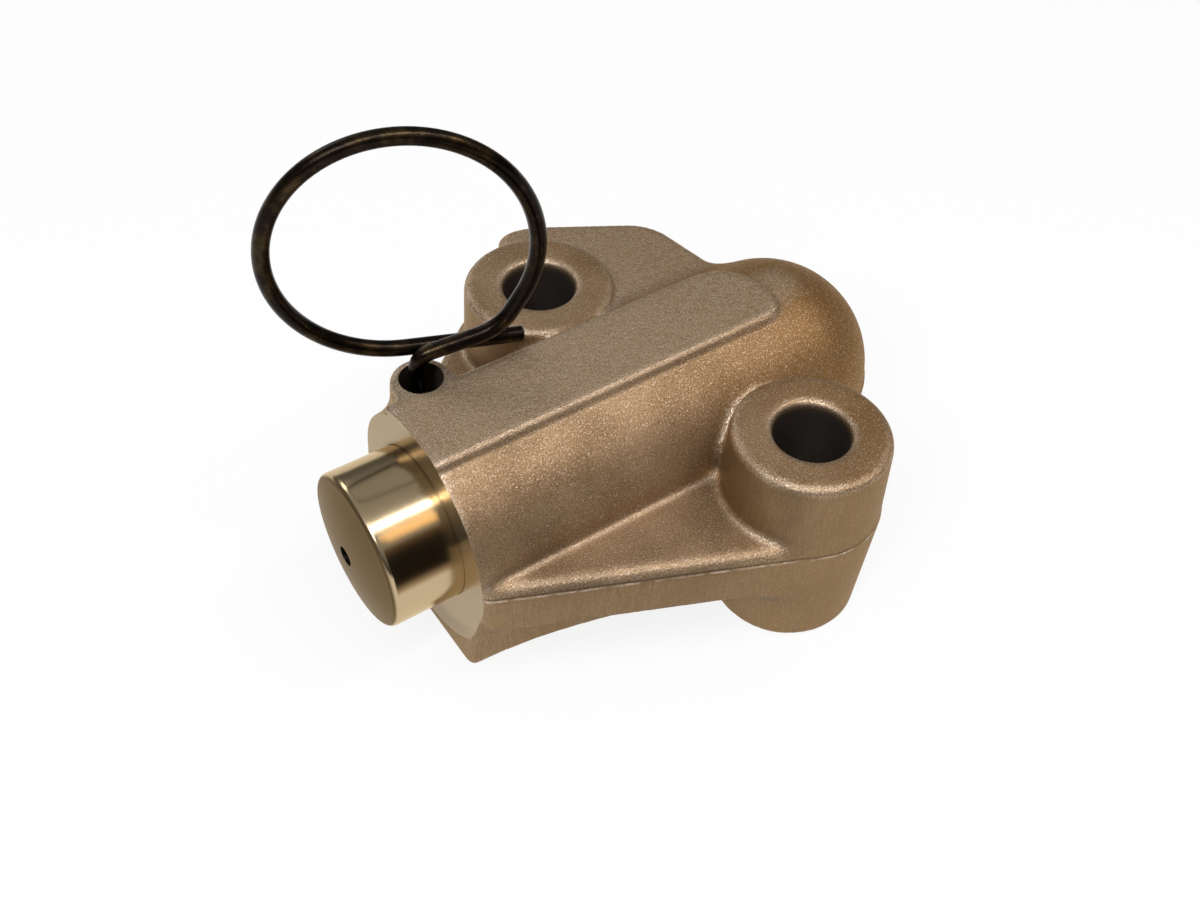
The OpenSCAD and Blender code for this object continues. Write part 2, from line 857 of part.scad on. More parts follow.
// Open ring round the plunger's first notch, with one end turned up into the pin hole
module ratchet_clip() {
    free_end = clip_leave - clip_opening;
    bends = [
        [0, clip_r, clip_opening - 360, 0],
        [0, clip_bend_r, 180 - clip_leave, 0]
    ];
    run = bent_wire(bends, clip_tang, clip_r * [cos(free_end), sin(free_end)], free_end - 90);
    color(dark_wire)
        on_bore(-clip_back)
            wire_along([for (p = run) [p.x, p.z, p.y]], clip_wire_d, [0, 0, 1], wire_sides);
}

// One wire: straight leg in the pin hole, elbow, pull ring and free end
module lock_pin() {
    leg = pad_top + pin_leg_rise - leg_bottom;
    bends = [
        [leg, pin_bend_r, -pin_bend, 0],
        [pin_reach, elbow_r, elbow, 0],
        [elbow_reach, ring_r, ring_sweep, ring_set]
    ];
    color(dark_wire)
        at_face()
            translate([-clip_back, leg_y, leg_bottom])
                rotate(ring_turn)
                    wire_along(bent_wire(bends, ring_end, [0, 0], 90), pin_wire_d, [0, 1, 0], wire_sides);
}

housing();
plunger();
vent_disc();
volume_reducer();
plunger_spring();
check_valve_seat();
check_valve_ball();
check_valve_spring();
check_valve_cage();
ratchet_clip();
lock_pin();
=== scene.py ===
"""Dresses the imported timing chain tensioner: a soft die casting, a ground plunger and bent spring wire.

Lengths are in metres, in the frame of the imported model. The casting is described from the middle of its
front face: x runs out of the bore, y towards the near lug, z up from the mounting face.
"""

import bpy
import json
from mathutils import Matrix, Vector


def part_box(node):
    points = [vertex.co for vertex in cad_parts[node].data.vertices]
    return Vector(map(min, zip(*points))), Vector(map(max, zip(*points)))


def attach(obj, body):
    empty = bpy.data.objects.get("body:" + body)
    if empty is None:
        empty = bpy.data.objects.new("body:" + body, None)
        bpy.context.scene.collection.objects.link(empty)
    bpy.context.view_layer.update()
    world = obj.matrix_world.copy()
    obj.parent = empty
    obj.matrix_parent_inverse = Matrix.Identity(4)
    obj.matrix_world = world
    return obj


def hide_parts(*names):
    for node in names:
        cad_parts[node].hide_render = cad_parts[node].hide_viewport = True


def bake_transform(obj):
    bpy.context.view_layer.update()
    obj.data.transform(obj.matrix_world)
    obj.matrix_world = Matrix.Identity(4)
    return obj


bl_info = {
    "name": "Timing chain tensioner",
    "version": (1, 0, 0),
    "blender": (4, 5, 0),
    "location": "View3D > Sidebar > Tensioner",
    "description": "Builds the tensioner's visible pieces round its packed solids",
    "category": "Object",
}

import json
import math
from functools import cached_property, partial

import bpy
import numpy as np
from bpy.props import FloatProperty, FloatVectorProperty, IntProperty, PointerProperty
from mathutils import Matrix

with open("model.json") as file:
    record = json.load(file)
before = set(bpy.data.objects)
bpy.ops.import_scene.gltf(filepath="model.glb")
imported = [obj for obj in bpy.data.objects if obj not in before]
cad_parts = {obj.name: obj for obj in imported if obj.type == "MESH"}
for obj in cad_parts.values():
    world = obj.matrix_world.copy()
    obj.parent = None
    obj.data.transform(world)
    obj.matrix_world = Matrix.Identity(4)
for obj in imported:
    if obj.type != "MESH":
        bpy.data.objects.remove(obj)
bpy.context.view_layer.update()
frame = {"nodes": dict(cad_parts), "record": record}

MM = 0.001
MOUNTS = {mount["name"]: mount for mount in frame["record"]["mounts"]}
BOLTS = MOUNTS["bolt_holes"]["dims"]
TIP = MOUNTS["plunger_tip"]["pos_m"]
FEED = MOUNTS["oil_feed"]["pos_m"]
# Least turn from face to face that shows as an edge.
CAST_EDGE, GROUND_EDGE, WIRE_EDGE = (math.radians(turn) for turn in (50, 28, 40))
# Round of the casting's edges that another form covers, and reach of a form into the next.
CRISP, OVERLAP = 0.5 * MM, 1 * MM


def length(label, about, millimetres):
    """A size in millimetres as a Blender length."""
    return FloatProperty(
        name=label, description=about, default=millimetres * MM, unit="LENGTH", precision=5
    )


def angle(label, about, degrees):
    """An angle in degrees as a Blender angle."""
    return FloatProperty(name=label, description=about, default=math.radians(degrees), subtype="ANGLE")


def tint(label, about, colour):
    """A linear colour."""
    return FloatVectorProperty(name=label, description=about, default=colour, subtype="COLOR", size=3)


def whole(label, about, number, least):
    """A whole number of things, and the fewest there can be."""
    return IntProperty(name=label, description=about, default=number, min=least)


class CastingSizes(bpy.types.PropertyGroup):
    """Sizes of the die casting."""

    cell: length("Cell", "Edge of the cells that the casting's skin is found in", 0.53)
    plunger_out: length("Plunger out", "How far the locked plunger stands out of the front face", 9.4)
    barrel_r: length("Barrel radius", "Outside radius of the barrel and of its dome", 12.7)
    barrel_len: length("Barrel length", "Straight barrel behind the front face", 47.7)
    bore_r: length("Bore radius", "Radius of the plunger's bore", 9.05)
    bore_depth: length("Bore depth", "Depth of the plunger's bore", 44)
    bolt_turn: angle("Bolt turn", "Turn of the bolt line away from square to the bore", 18)
    lug_h: length("Lug height", "Height of the lugs above the mounting face", 25.7)
    lug_top_r: length("Lug top radius", "Lug radius at the top", 8.95)
    lug_parting_r: length("Lug parting radius", "Lug radius at the parting plane", 9.3)
    lug_base_r: length("Lug base radius", "Lug radius on the mounting face", 8.4)
    lug_edge: length("Lug edge", "Round of the near lug's top edge", 1.1)
    far_lug_edge: length("Far lug edge", "Round of the far lug's top edge", 0.9)
    hole_lip: length("Hole lip", "Round of a bolt hole's lip", 0.9)
    foot_half: length("Foot half width", "Half width of the foot on the mounting face", 9.75)
    foot_lip: length("Foot lip", "Cast lip of the foot in front of the machined face", 0.5)
    spot_r: length("Machined face radius", "Radius of the machined front face", 13.5)
    pad_near: length("Pad near edge", "Reach of the raised pad towards the near lug", 4.7)
    pad_far: length("Pad far edge", "Reach of the raised pad towards the far lug", 6.3)
    pad_len: length("Pad length", "Length of the raised pad", 46.5)
    pad_top: length("Pad height", "Top of the raised pad above the mounting face", 28.3)
    pad_edge: length("Pad edge", "Round of the top edge of the pad and of the pin boss", 0.8)
    web_under: length("Web underside", "Underside of the webs above the mounting face", 9.3)
    web_top: length("Web top", "Top of the webs above the mounting face", 16.7)
    web_flare: length("Web flare", "Reach of the near web beside the barrel, at the front", 0.6)
    rib_r: length("Rib radius", "Radius of the hollow wall under the near web", 115)
    far_web_back: length("Far web start", "Distance of the far web's front edge behind the front face", 4.5)
    far_web_r: length("Far web radius", "Radius of the far web round its lug", 10.5)
    plate_top: length("Plate top", "Top of the far plate above the mounting face", 24.4)
    plate_reach: length("Plate reach", "Reach of the far plate beyond its lug's axis", 15.3)
    plate_heel_back: length("Plate heel back", "Distance of the plate's heel behind the lug's axis", 19.5)
    plate_heel_out: length("Plate heel out", "Distance of the plate's heel beyond the lug's axis", 4.2)
    plate_tail: length("Plate tail", "Distance of the plate's rear end behind the barrel", 1.2)
    pocket_wall: length("Pocket wall", "Wall round the oil pocket under the plate", 3.2)
    pocket_roof: length("Pocket roof", "Roof of the oil pocket under the plate", 4)
    pin_back: length("Pin hole place", "Distance of the pin hole behind the front face", 5)
    pin_side: length("Pin hole side", "Reach of the pin hole from the bore axis, on the far side", 7.705)
    pin_hole_r: length("Pin hole radius", "Radius of the pin hole", 2.46)
    boss_wall: length("Boss wall", "Wall of the boss round the pin hole", 1)
    boss_draft: length("Boss draft", "Widening of the boss down to the parting plane", 0.6)
    parting_step: length("Parting step", "Step between the two halves of the mould", 0.16)
    fillet: length("Fillet", "Casting fillet where the near lug meets the barrel", 1.5)
    low_fillet: length("Low fillet", "Casting fillet where the near lug meets the web's underside", 4.5)
    far_fillet: length("Far fillet", "Casting fillet where the far lug meets the rest", 0.5)
    web_fillet: length("Web fillet", "Casting fillet where the webs meet the barrel and the near lug", 0.9)
    soft_edge: length("Soft edge", "Round of the casting's plain edges", 1.5)


class PlungerSizes(bpy.types.PropertyGroup):
    """Sizes of the plunger."""

    radius: length("Radius", "Radius of the plunger", 9)
    length: length("Length", "Length over the crown", 46)
    bore_r: length("Hollow radius", "Radius of the plunger's hollow", 6.25)
    crown_t: length("Crown thickness", "Thickness of the crown on the axis", 4.4)
    crown_r: length("Crown radius", "Radius of the domed crown", 34)
    rim: length("Rim", "Round at the crown's rim", 0.8)
    vent_r: length("Vent radius", "Radius of the vent hole", 0.8)
    vent_mouth_r: length("Vent mouth radius", "Radius of the vent hole's tapered mouth", 1.15)
    vent_mouth: length("Vent mouth depth", "Depth of the vent hole's tapered mouth", 2)
    notch_count: whole("Notches", "Notches along the plunger", 6, 1)
    notch_pitch: length("Notch pitch", "Distance from notch to notch", 3)
    notch_depth: length("Notch depth", "Depth of a notch", 0.9)
    notch_w: length("Notch width", "Width of a notch's floor", 1.85)
    sides: whole("Sides", "Steps round the plunger", 160, 24)


class WireSizes(bpy.types.PropertyGroup):
    """Sizes of the lock pin, the ratchet clip and the springs."""

    pin_r: length("Pin wire radius", "Radius of the lock pin's wire", 0.9)
    pin_side: length("Leg place", "Reach of the lock pin's leg from the bore axis, on the far side", 8.565)
    pin_bottom: length("Leg bottom", "Bottom of the lock pin's leg above the mounting face", 22.21)
    pin_rise: length("Leg rise", "Straight leg above the raised pad", 0.6)
    pin_bend_r: length("Leg bend radius", "Radius of the bend at the top of the leg", 2.2)
    pin_bend: angle("Leg bend", "Angle of the bend at the top of the leg", 75)
    pin_reach: length("Reach", "Straight wire after that bend", 5.3)
    elbow_r: length("Elbow radius", "Radius of the elbow that leads into the ring", 6)
    elbow: angle("Elbow", "Angle of that elbow", 45)
    elbow_reach: length("Elbow reach", "Straight wire after the elbow", 2.2)
    ring_r: length("Ring radius", "Radius of the pull ring", 13.7)
    ring_sweep: angle("Ring sweep", "Angle that the ring runs round", 298)
    ring_set: length("Ring set", "Sideways set of the ring's free end", 2.1)
    ring_end: length("Ring end", "Straight free end of the ring", 13)
    ring_turn: angle("Ring turn", "Turn of the ring's plane away from the bore", 160)
    clip_r: length("Clip radius", "Radius of the ratchet clip", 8.95)
    clip_wire_r: length("Clip wire radius", "Radius of the ratchet clip's wire", 0.8)
    clip_leave: angle("Clip leave", "Angle at which the clip turns up", 143)
    clip_opening: angle("Clip opening", "Opening between the clip's ends", 50)
    clip_bend_r: length("Clip bend radius", "Bend radius of the clip's tang", 2)
    clip_tang: length("Clip tang", "Straight length of the clip's tang", 4.2)
    spring_wire_r: length("Spring wire radius", "Wire radius of the plunger spring", 0.7)
    spring_turns: whole("Spring turns", "Turns of the plunger spring", 16, 3)
    valve_wire_r: length("Valve wire radius", "Wire radius of the check valve's spring", 0.175)
    valve_turns: whole("Valve turns", "Turns of the check valve's spring", 4, 3)
    step: length("Step", "Distance from point to point along bent wire", 0.7)
    coil_steps: whole("Coil steps", "Points along one turn of a spring", 36, 8)
    sides: whole("Wire sides", "Sides of the lock pin's wire", 28, 8)
    inner_sides: whole("Inner sides", "Sides of the wire inside", 14, 6)


class FinishColours(bpy.types.PropertyGroup):
    """Colours of the finishes."""

    cast: tint("Cast alloy", "Blasted die casting", (0.40, 0.267, 0.152))
    cast_shade: tint("Cast alloy, dull", "Duller patches of the casting", (0.29, 0.187, 0.098))
    # Painted warm reflection: a warm tint towards the domed end, for the warm surroundings that end would
    # mirror.
    painted_warm_reflection: tint("Cast alloy, golden", "Warm stain towards the domed end", (0.26, 0.125, 0.025))
    pale: tint("Cast alloy, pale", "Greyer skin on the pad and the plate", (0.47, 0.348, 0.225))
    drawn_wall: tint("Drawn wall", "Walls that the mould was drawn off along", (0.26, 0.172, 0.090))
    # This colour also paints the highlights on bent edges and fillets and along the thin fin under the
    # parting line.
    fleck_and_highlight: tint("Fleck", "Bright crystals in the blasted skin", (0.80, 0.68, 0.55))
    hollow: tint("Hollow", "Grain hollows and the parting line", (0.085, 0.055, 0.032))
    # Painted shade: the colour of the bolt holes below their lips and of the faces that hang.
    depth: tint("Depth", "Oily depth of the bolt holes", (0.090, 0.075, 0.066))
    cut_face: tint("Cut face", "Machined faces of the casting", (0.33, 0.27, 0.195))
    steel: tint("Ground steel", "Ground plunger", (0.54, 0.415, 0.25))
    # Painted shade: far darker than the ground steel, for the shaded floor the crown would mirror.
    crown: tint("Crown", "Satin crown of the plunger", (0.125, 0.081, 0.037))
    bright: tint("Bright steel", "Valve parts and springs", (0.52, 0.52, 0.53))
    black: tint("Blackened wire", "Oil-blackened spring wire", (0.015, 0.011, 0.008))
    bronze: tint("Rubbed wire", "Where the blackening is thin", (0.065, 0.042, 0.020))
    grey: tint("Grey wire", "Ratchet clip's wire", (0.20, 0.20, 0.22))
    nylon: tint("Nylon", "Moulded filler", (0.68, 0.63, 0.50))
    floor: tint("Floor", "Studio floor", (0.94, 0.94, 0.94))


class Value:
    """A shader socket that takes sums, differences, products and abs: each adds a Math node."""

    def __init__(self, finish, socket):
        self.finish = finish
        self.socket = socket

    def math(self, operation, *terms):
        return self.finish.node("ShaderNodeMath", {"operation": operation}, dict(enumerate(terms)))

    def __add__(self, other):
        return self.math("ADD", self, other)

    def __sub__(self, other):
        return self.math("SUBTRACT", self, other)

    def __rsub__(self, other):
        return self.math("SUBTRACT", other, self)

    def __mul__(self, other):
        return self.math("MULTIPLY", self, other)

    def __abs__(self):
        return self.math("ABSOLUTE", self)

    __radd__ = __add__
    __rmul__ = __mul__

    def ramp(self, low, high, to_low=0.0, to_high=1.0):
        """Smooth step from to_low at low to to_high at high."""
        return self.finish.node(
            "ShaderNodeMapRange",
            {"interpolation_type": "SMOOTHSTEP"},
            {"Value": self, "From Min": low, "From Max": high, "To Min": to_low, "To Max": to_high},
        )


class Finish:
    """A node material: the Principled shader's constants are given at once, the rest is linked to it."""

    def __init__(self, name, constants):
        self.material = bpy.data.materials.new(name)
        self.material.use_nodes = True
        self.tree = self.material.node_tree
        self.shader = self.tree.nodes["Principled BSDF"]
        for socket, value in constants.items():
            self.shader.inputs[socket].default_value = value

    def node(self, kind, settings, inputs, output=0):
        """Adds a node, sets its settings first and then its sockets, and returns one of its outputs."""
        made = self.tree.nodes.new(kind)
        for key, setting in settings.items():
            setattr(made, key, setting)
        for key, value in inputs.items():
            if isinstance(value, Value):
                self.tree.links.new(value.socket, made.inputs[key])
            else:
                made.inputs[key].default_value = value
        return Value(self, made.outputs[output])

    @cached_property
    def place(self):
        """Object coordinates, which are the model's own."""
        return self.node("ShaderNodeTexCoord", {}, {}, "Object")

    def along(self, axis):
        """One of the object coordinates: X, Y or Z."""
        return self.node("ShaderNodeSeparateXYZ", {}, {"Vector": self.place}, axis)

    def noise(self, size, detail=2.0, roughness=0.55, scale=None):
        """Noise whose lumps are about size across, with coordinates scaled by a factor along each axis."""
        place = self.place
        if scale:
            place = self.node("ShaderNodeMapping", {}, {"Vector": place, "Scale": scale})
        inputs = {"Vector": place, "Scale": 1 / size, "Detail": detail, "Roughness": roughness}
        return self.node("ShaderNodeTexNoise", {}, inputs)

    def cells(self, size):
        """Distance from the middle of random cells about size across."""
        return self.node("ShaderNodeTexVoronoi", {}, {"Vector": self.place, "Scale": 1 / size}, "Distance")

    def attribute(self, name):
        """A number that the piece's mesh carries."""
        return self.node("ShaderNodeAttribute", {"attribute_name": name}, {}, "Fac")

    def mix(self, factor, first, second):
        """Colour that runs from first at 0 to second at 1."""
        colours = [c if isinstance(c, Value) else (*c, 1.0) for c in (first, second)]
        return self.node(
            "ShaderNodeMix", {"data_type": "RGBA"}, {"Factor": factor, 6: colours[0], 7: colours[1]}, 2
        )

    def feed(self, links):
        """Links values to the shader's sockets."""
        for socket, value in links.items():
            self.tree.links.new(value.socket, self.shader.inputs[socket])
        return self.material

    def surface(self, tone, rough, relief, depth):
        """Links a colour, a roughness, and bumps that rise by depth where relief is 1."""
        normal = self.node("ShaderNodeBump", {}, {"Height": relief, "Distance": depth, "Strength": 1.0})
        return self.feed({"Base Color": tone, "Roughness": rough, "Normal": normal})


def cast_finish(colours):
    """Blasted casting: dull patches, a painted warm reflection towards the domed end, streaks on drawn
    walls, a paler skin on the pad and the plate, a fine bright grain, wear with a painted highlight on bent
    edges and fillets, and the parting line with a painted highlight along the thin fin of metal under it.
    Cut faces have none of these. Painted shade darkens the bolt holes and the faces that hang."""
    finish = Finish("cast_alloy", {"Specular Tint": (1.0, 0.88, 0.70, 1.0)})
    cut_face, deep, drawn, pale, worn = (
        finish.attribute(name) for name in ("machined", "deep", "drawn", "pale", "worn")
    )
    grain = finish.noise(0.17 * MM, roughness=0.6)
    pits = finish.cells(0.20 * MM)
    rugged = finish.noise(0.55 * MM, detail=3.0, roughness=0.6)
    patches = finish.noise(7 * MM, detail=3.0)
    stains = finish.noise(2.2 * MM, detail=4.0, roughness=0.7)
    streaks = finish.noise(0.24 * MM, scale=(1.0, 1.0, 0.07))
    breaks = finish.noise(1.6 * MM, detail=4.0)
    smears = finish.noise(0.8 * MM)

    as_cast = 1.0 - cut_face
    height = finish.along("Z") - TIP[2]
    parting = abs(height).ramp(0.04 * MM, 0.18 * MM, 1.0, 0.0) * as_cast
    # Painted highlight: a thin bright line just under the parting plane, where light catches the step.
    flash_highlight = abs(height + 0.28 * MM).ramp(0.04 * MM, 0.20 * MM, 1.0, 0.0) * as_cast
    coarse = (1.0 - drawn * 0.8) * (1.0 + pale * 0.5)
    layers = [
        (patches.ramp(0.35, 0.68), colours.cast_shade),
        (stains.ramp(0.52, 0.80, 0.0, 0.35), colours.cast_shade),
        # Painted warm reflection, growing towards the domed end.
        (finish.along("X").ramp(-22 * MM, 12 * MM, 0.7, 0.0), colours.painted_warm_reflection),
        (drawn * streaks.ramp(0.35, 0.65, 0.5, 0.95), colours.drawn_wall),
        (pale * rugged.ramp(0.38, 0.60, 0.55, 1.0), colours.pale),
        (grain.ramp(0.46, 0.30, 0.0, 0.55) * coarse, colours.hollow),
        (grain.ramp(0.57, 0.69, 0.0, 0.6) * coarse, colours.fleck_and_highlight),
        # Wear with a painted highlight: bent edges and fillets that don't face down turn bright.
        (worn * grain.ramp(0.38, 0.64, 0.06, 0.62), colours.fleck_and_highlight),
        (parting * 0.55, colours.hollow),
        (flash_highlight * breaks.ramp(0.38, 0.64) * 0.7, colours.fleck_and_highlight),
        (cut_face, colours.cut_face),
        # Painted shade over the bolt holes and the faces that hang.
        (deep, colours.depth),
    ]
    tone = colours.cast
    for cover, colour in layers:
        tone = finish.mix(cover, tone, colour)
    rough = grain.ramp(0.25, 0.75, 0.62, 0.46) - worn * 0.08
    rough = rough + cut_face * (0.20 + smears * 0.08 - rough)
    relief = (grain + (1.0 - pits) * 0.5) * (1.0 - drawn * 0.75)
    relief = (relief + streaks * drawn * 0.3 + rugged * pale * 2.0) * as_cast
    finish.feed({"Metallic": cut_face.ramp(0.0, 1.0, 0.88, 0.92)})
    return finish.surface(tone, rough, relief, 0.05 * MM)


def ground_finish(colours, vent_r):
    """Ground steel: fine rings round the plunger, a satin crown coloured dark as painted shade, and painted
    shade over the vent hole of radius vent_r.
    """
    finish = Finish(
        "ground_steel", {"Metallic": 1.0, "Anisotropic": 0.35, "Specular Tint": (1.0, 0.90, 0.74, 1.0)}
    )
    y, z = finish.along("Y") - TIP[1], finish.along("Z") - TIP[2]
    vent = (y * y + z * z).ramp(vent_r ** 2, 1.1 * vent_r ** 2, 1.0, 0.0)
    crown = finish.along("X").ramp(TIP[0] - 1.45 * MM, TIP[0] - 1.15 * MM)
    rings = finish.noise(0.10 * MM, detail=3.0, scale=(1.0, 0.02, 0.02))
    haze = finish.noise(3.0 * MM)
    satin = finish.noise(0.16 * MM)
    # Painted shade: the crown's dark colour.
    tone = finish.mix(crown, colours.steel, colours.crown)
    # Painted shade over the vent hole's mouth, in the blackened wire's colour.
    tone = finish.mix(vent, tone, colours.black)
    rough = 0.13 + rings * 0.06 + haze * 0.05
    rough = rough + crown * (0.36 + satin * 0.12 - rough)
    relief = rings * (1.0 - crown) + satin * crown
    return finish.surface(tone, rough, relief, 0.004 * MM)


def wire_finish(name, oiled, worn):
    """Oiled spring wire, thin and paler where it is rubbed."""
    finish = Finish(name, {"Metallic": 1.0})
    rubbed = finish.noise(3.5 * MM, detail=4.0, roughness=0.65)
    grain = finish.noise(0.25 * MM)
    tone = finish.mix(rubbed.ramp(0.45, 0.72), oiled, worn)
    rough = 0.22 + grain * 0.16
    return finish.surface(tone, rough, grain, 0.012 * MM)


def bright_finish(colours):
    """Bright drawn steel with faint scratches, made once for all pieces that share it."""
    made = bpy.data.materials.get("valve_steel")
    if made:
        return made
    finish = Finish("valve_steel", {"Metallic": 1.0})
    scratches = finish.noise(0.2 * MM, detail=3.0, scale=(0.1, 1.0, 1.0))
    haze = finish.noise(1.5 * MM)
    tone = finish.mix(haze.ramp(0.35, 0.7, 0.0, 0.4), colours.bright, colours.steel)
    rough = 0.2 + scratches * 0.18
    return finish.surface(tone, rough, scratches, 0.006 * MM)


def nylon_finish(colours):
    """Moulded nylon, a little blotched, with a fine matt skin."""
    finish = Finish("nylon", {})
    blotches = finish.noise(4 * MM, detail=3.0)
    skin = finish.noise(0.2 * MM)
    shade = tuple(0.82 * c for c in colours.nylon)
    tone = finish.mix(blotches.ramp(0.4, 0.75), colours.nylon, shade)
    rough = 0.42 + skin * 0.18
    return finish.surface(tone, rough, skin, 0.01 * MM)


def add_piece(name, points, faces, material, body, sharp):
    """A mesh piece from arrays: points in metres and faces as corner numbers, closed and facing outwards.
    Edges that turn by more than sharp stay hard; a piece without a body is attached to none."""
    mesh = bpy.data.meshes.new(name)
    mesh.from_pydata(points.tolist(), [], faces)
    mesh.polygons.foreach_set("use_smooth", np.ones(len(mesh.polygons), bool))
    mesh.set_sharp_from_angle(angle=sharp)
    mesh.materials.append(material)
    mesh.update()
    piece = bpy.data.objects.new(name, mesh)
    bpy.context.scene.collection.objects.link(piece)
    if body:
        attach(piece, body)
    return piece


def paint(mesh, name, values, domain="POINT"):
    """Gives a mesh a number at each point or face, for its material to read."""
    held = mesh.attributes.new(name, "FLOAT", domain)
    held.data.foreach_set("value", values.astype(np.float32))


def soft_min(a, b, k):
    """Union of two distance fields with a fillet: the smaller one, less k/4 where both are equal and less
    nothing where they differ by k or more."""
    near = np.maximum(k - np.abs(a - b), 0) / k
    return np.minimum(a, b) - near * near * k / 4


def soft_max(a, b, k):
    """Common part of two distance fields with a rounded edge."""
    return -soft_min(-a, -b, k)


def side_of(x, y, start, end):
    """Distance of plan points from the line start to end, positive to the right of it."""
    run = math.hypot(end[0] - start[0], end[1] - start[1])
    return ((x - start[0]) * (end[1] - start[1]) - (y - start[1]) * (end[0] - start[0])) / run


def inside_corners(x, y, corners, rounds):
    """Distance field of a convex plan whose corners run anticlockwise, each with its own round."""
    edges = [side_of(x, y, start, end) for start, end in zip(corners, corners[1:] + corners[:1])]
    return np.maximum.reduce([soft_max(edges[i - 1], edges[i], k) for i, k in enumerate(rounds)])


def from_axis(x, y, place):
    """Distance of plan points from the upright axis at place."""
    return np.hypot(x - place[0], y - place[1])


def touch(point, centre, radius, turn):
    """Point where a line from point touches a circle, on the side given by turn (1 or -1)."""
    dx, dy = point[0] - centre[0], point[1] - centre[1]
    a = math.atan2(dy, dx) + turn * math.acos(radius / math.hypot(dx, dy))
    return (centre[0] + radius * math.cos(a), centre[1] + radius * math.sin(a))


def front_middle(c):
    """The middle of the front face at the height of the mounting face, in the model's frame."""
    return np.array([TIP[0] - c.plunger_out, TIP[1], 0.0])


def lug_places(c):
    """Plan places of the near and the far bolt hole from the middle of the front face."""
    origin = front_middle(c)
    reach = BOLTS["pcd_mm"] * MM / 2
    step = (-math.sin(c.bolt_turn) * reach, math.cos(c.bolt_turn) * reach)
    near = (step[0] - origin[0], step[1] - origin[1])
    far = (-step[0] - origin[0], -step[1] - origin[1])
    return near, far


def lug_radius(z, c):
    """Radius of a lug by height: widest at the parting plane, tapered both ways."""
    return np.interp(z, [0, TIP[2], c.lug_h], [c.lug_base_r, c.lug_parting_r, c.lug_top_r])


def lug_field(x, y, z, c, place, edge):
    """A round lug with a rounded top edge."""
    return soft_max(from_axis(x, y, place) - lug_radius(z, c), z - c.lug_h, edge)


def plate_field(x, y, c, far, rounds):
    """Plan of the far plate, from under the barrel out past its lug, with a round for each corner."""
    corners = [
        (far[0], 0), (-c.barrel_len - c.plate_tail, 0),
        (far[0] - c.plate_heel_back, far[1] - c.plate_heel_out), (far[0], far[1] - c.plate_reach),
    ]
    return inside_corners(x, y, corners, rounds)


def barrel_field(x, y, z, c):
    """Barrel with its dome, the foot under it, and the raised pad and the pin boss, which end level."""
    foot_seam, pad_seam, boss_fillet = 0.4 * MM, 0.3 * MM, 1.6 * MM
    pad_rounds = (CRISP, CRISP, 3.5 * MM, 7 * MM)
    ahead = 10 * MM
    behind = np.maximum(-c.barrel_len - x, 0)
    body = np.sqrt(behind ** 2 + y ** 2 + (z - TIP[2]) ** 2) - c.barrel_r

    half = c.foot_half + (c.barrel_r - c.foot_half) * z / TIP[2]
    foot = soft_max(np.hypot(behind, y) - c.barrel_r, np.abs(y) - half, c.soft_edge)
    body = soft_min(body, np.maximum(foot, z - TIP[2]), foot_seam)

    corners = [
        (ahead, -c.pad_far), (ahead, c.pad_near), (-c.pad_len, c.pad_near), (-c.pad_len, -c.pad_far)
    ]
    pad = inside_corners(x, y, corners, pad_rounds)
    body = soft_min(body, np.maximum(pad, TIP[2] - z), pad_seam)

    widening = c.boss_draft * (c.pad_top - z) / (c.pad_top - TIP[2])
    boss = from_axis(x, y, (-c.pin_back, -c.pin_side)) - c.pin_hole_r - c.boss_wall - widening
    body = soft_min(body, np.maximum(boss, TIP[2] - z), boss_fillet)
    return soft_max(body, z - c.pad_top, c.pad_edge)


def near_web_field(x, y, z, c, near):
    """Plan of the near web, whose straight sides touch the lug and take its draft."""
    corner_round = 0.8 * MM
    front = (0, c.barrel_r + c.web_flare)
    rear = (-c.barrel_len - c.barrel_r / 2, c.barrel_r / 2)
    corners = [
        (0, 0), front, touch(front, near, c.lug_parting_r, 1), touch(rear, near, c.lug_base_r, -1), rear,
        (rear[0], 0),
    ]
    plan = inside_corners(x, y, corners, len(corners) * (corner_round,))
    return plan + c.lug_parting_r - lug_radius(z, c)


def rib_field(x, y, z, c, near):
    """Arched wall under the near web: an arc from the foot's front corner to the lug, bent inwards."""
    edge = 1 * MM
    start = np.array([0, c.foot_half])
    to_start = start - np.array(near)
    end = np.array(near) + c.lug_base_r * to_start / np.linalg.norm(to_start)
    chord = end - start
    rise = math.sqrt(c.rib_r ** 2 - chord @ chord / 4)
    middle = end - chord / 2 + rise * np.array([chord[1], -chord[0]]) / np.linalg.norm(chord)
    corners = [(0, -OVERLAP), (0, c.barrel_r), near, (near[0], -OVERLAP)]
    plan = inside_corners(x, y, corners, len(corners) * (CRISP,))
    wall = soft_max(plan, c.rib_r - from_axis(x, y, middle), edge)
    return np.maximum(wall, z - c.web_under - OVERLAP)


def far_web_field(x, y, z, c, far):
    """Web between the barrel and the far lug, round the lug at its outer end."""
    front = (-c.far_web_back, -c.barrel_r)
    corners = [(front[0], 0), (far[0], 0), far, touch(front, far, c.far_web_r, -1), front]
    plan = inside_corners(x, y, corners, len(corners) * (CRISP,))
    web = np.minimum(plan, from_axis(x, y, far) - c.far_web_r)
    return soft_max(soft_max(web, z - c.web_top, c.soft_edge), c.web_under - z, c.soft_edge)


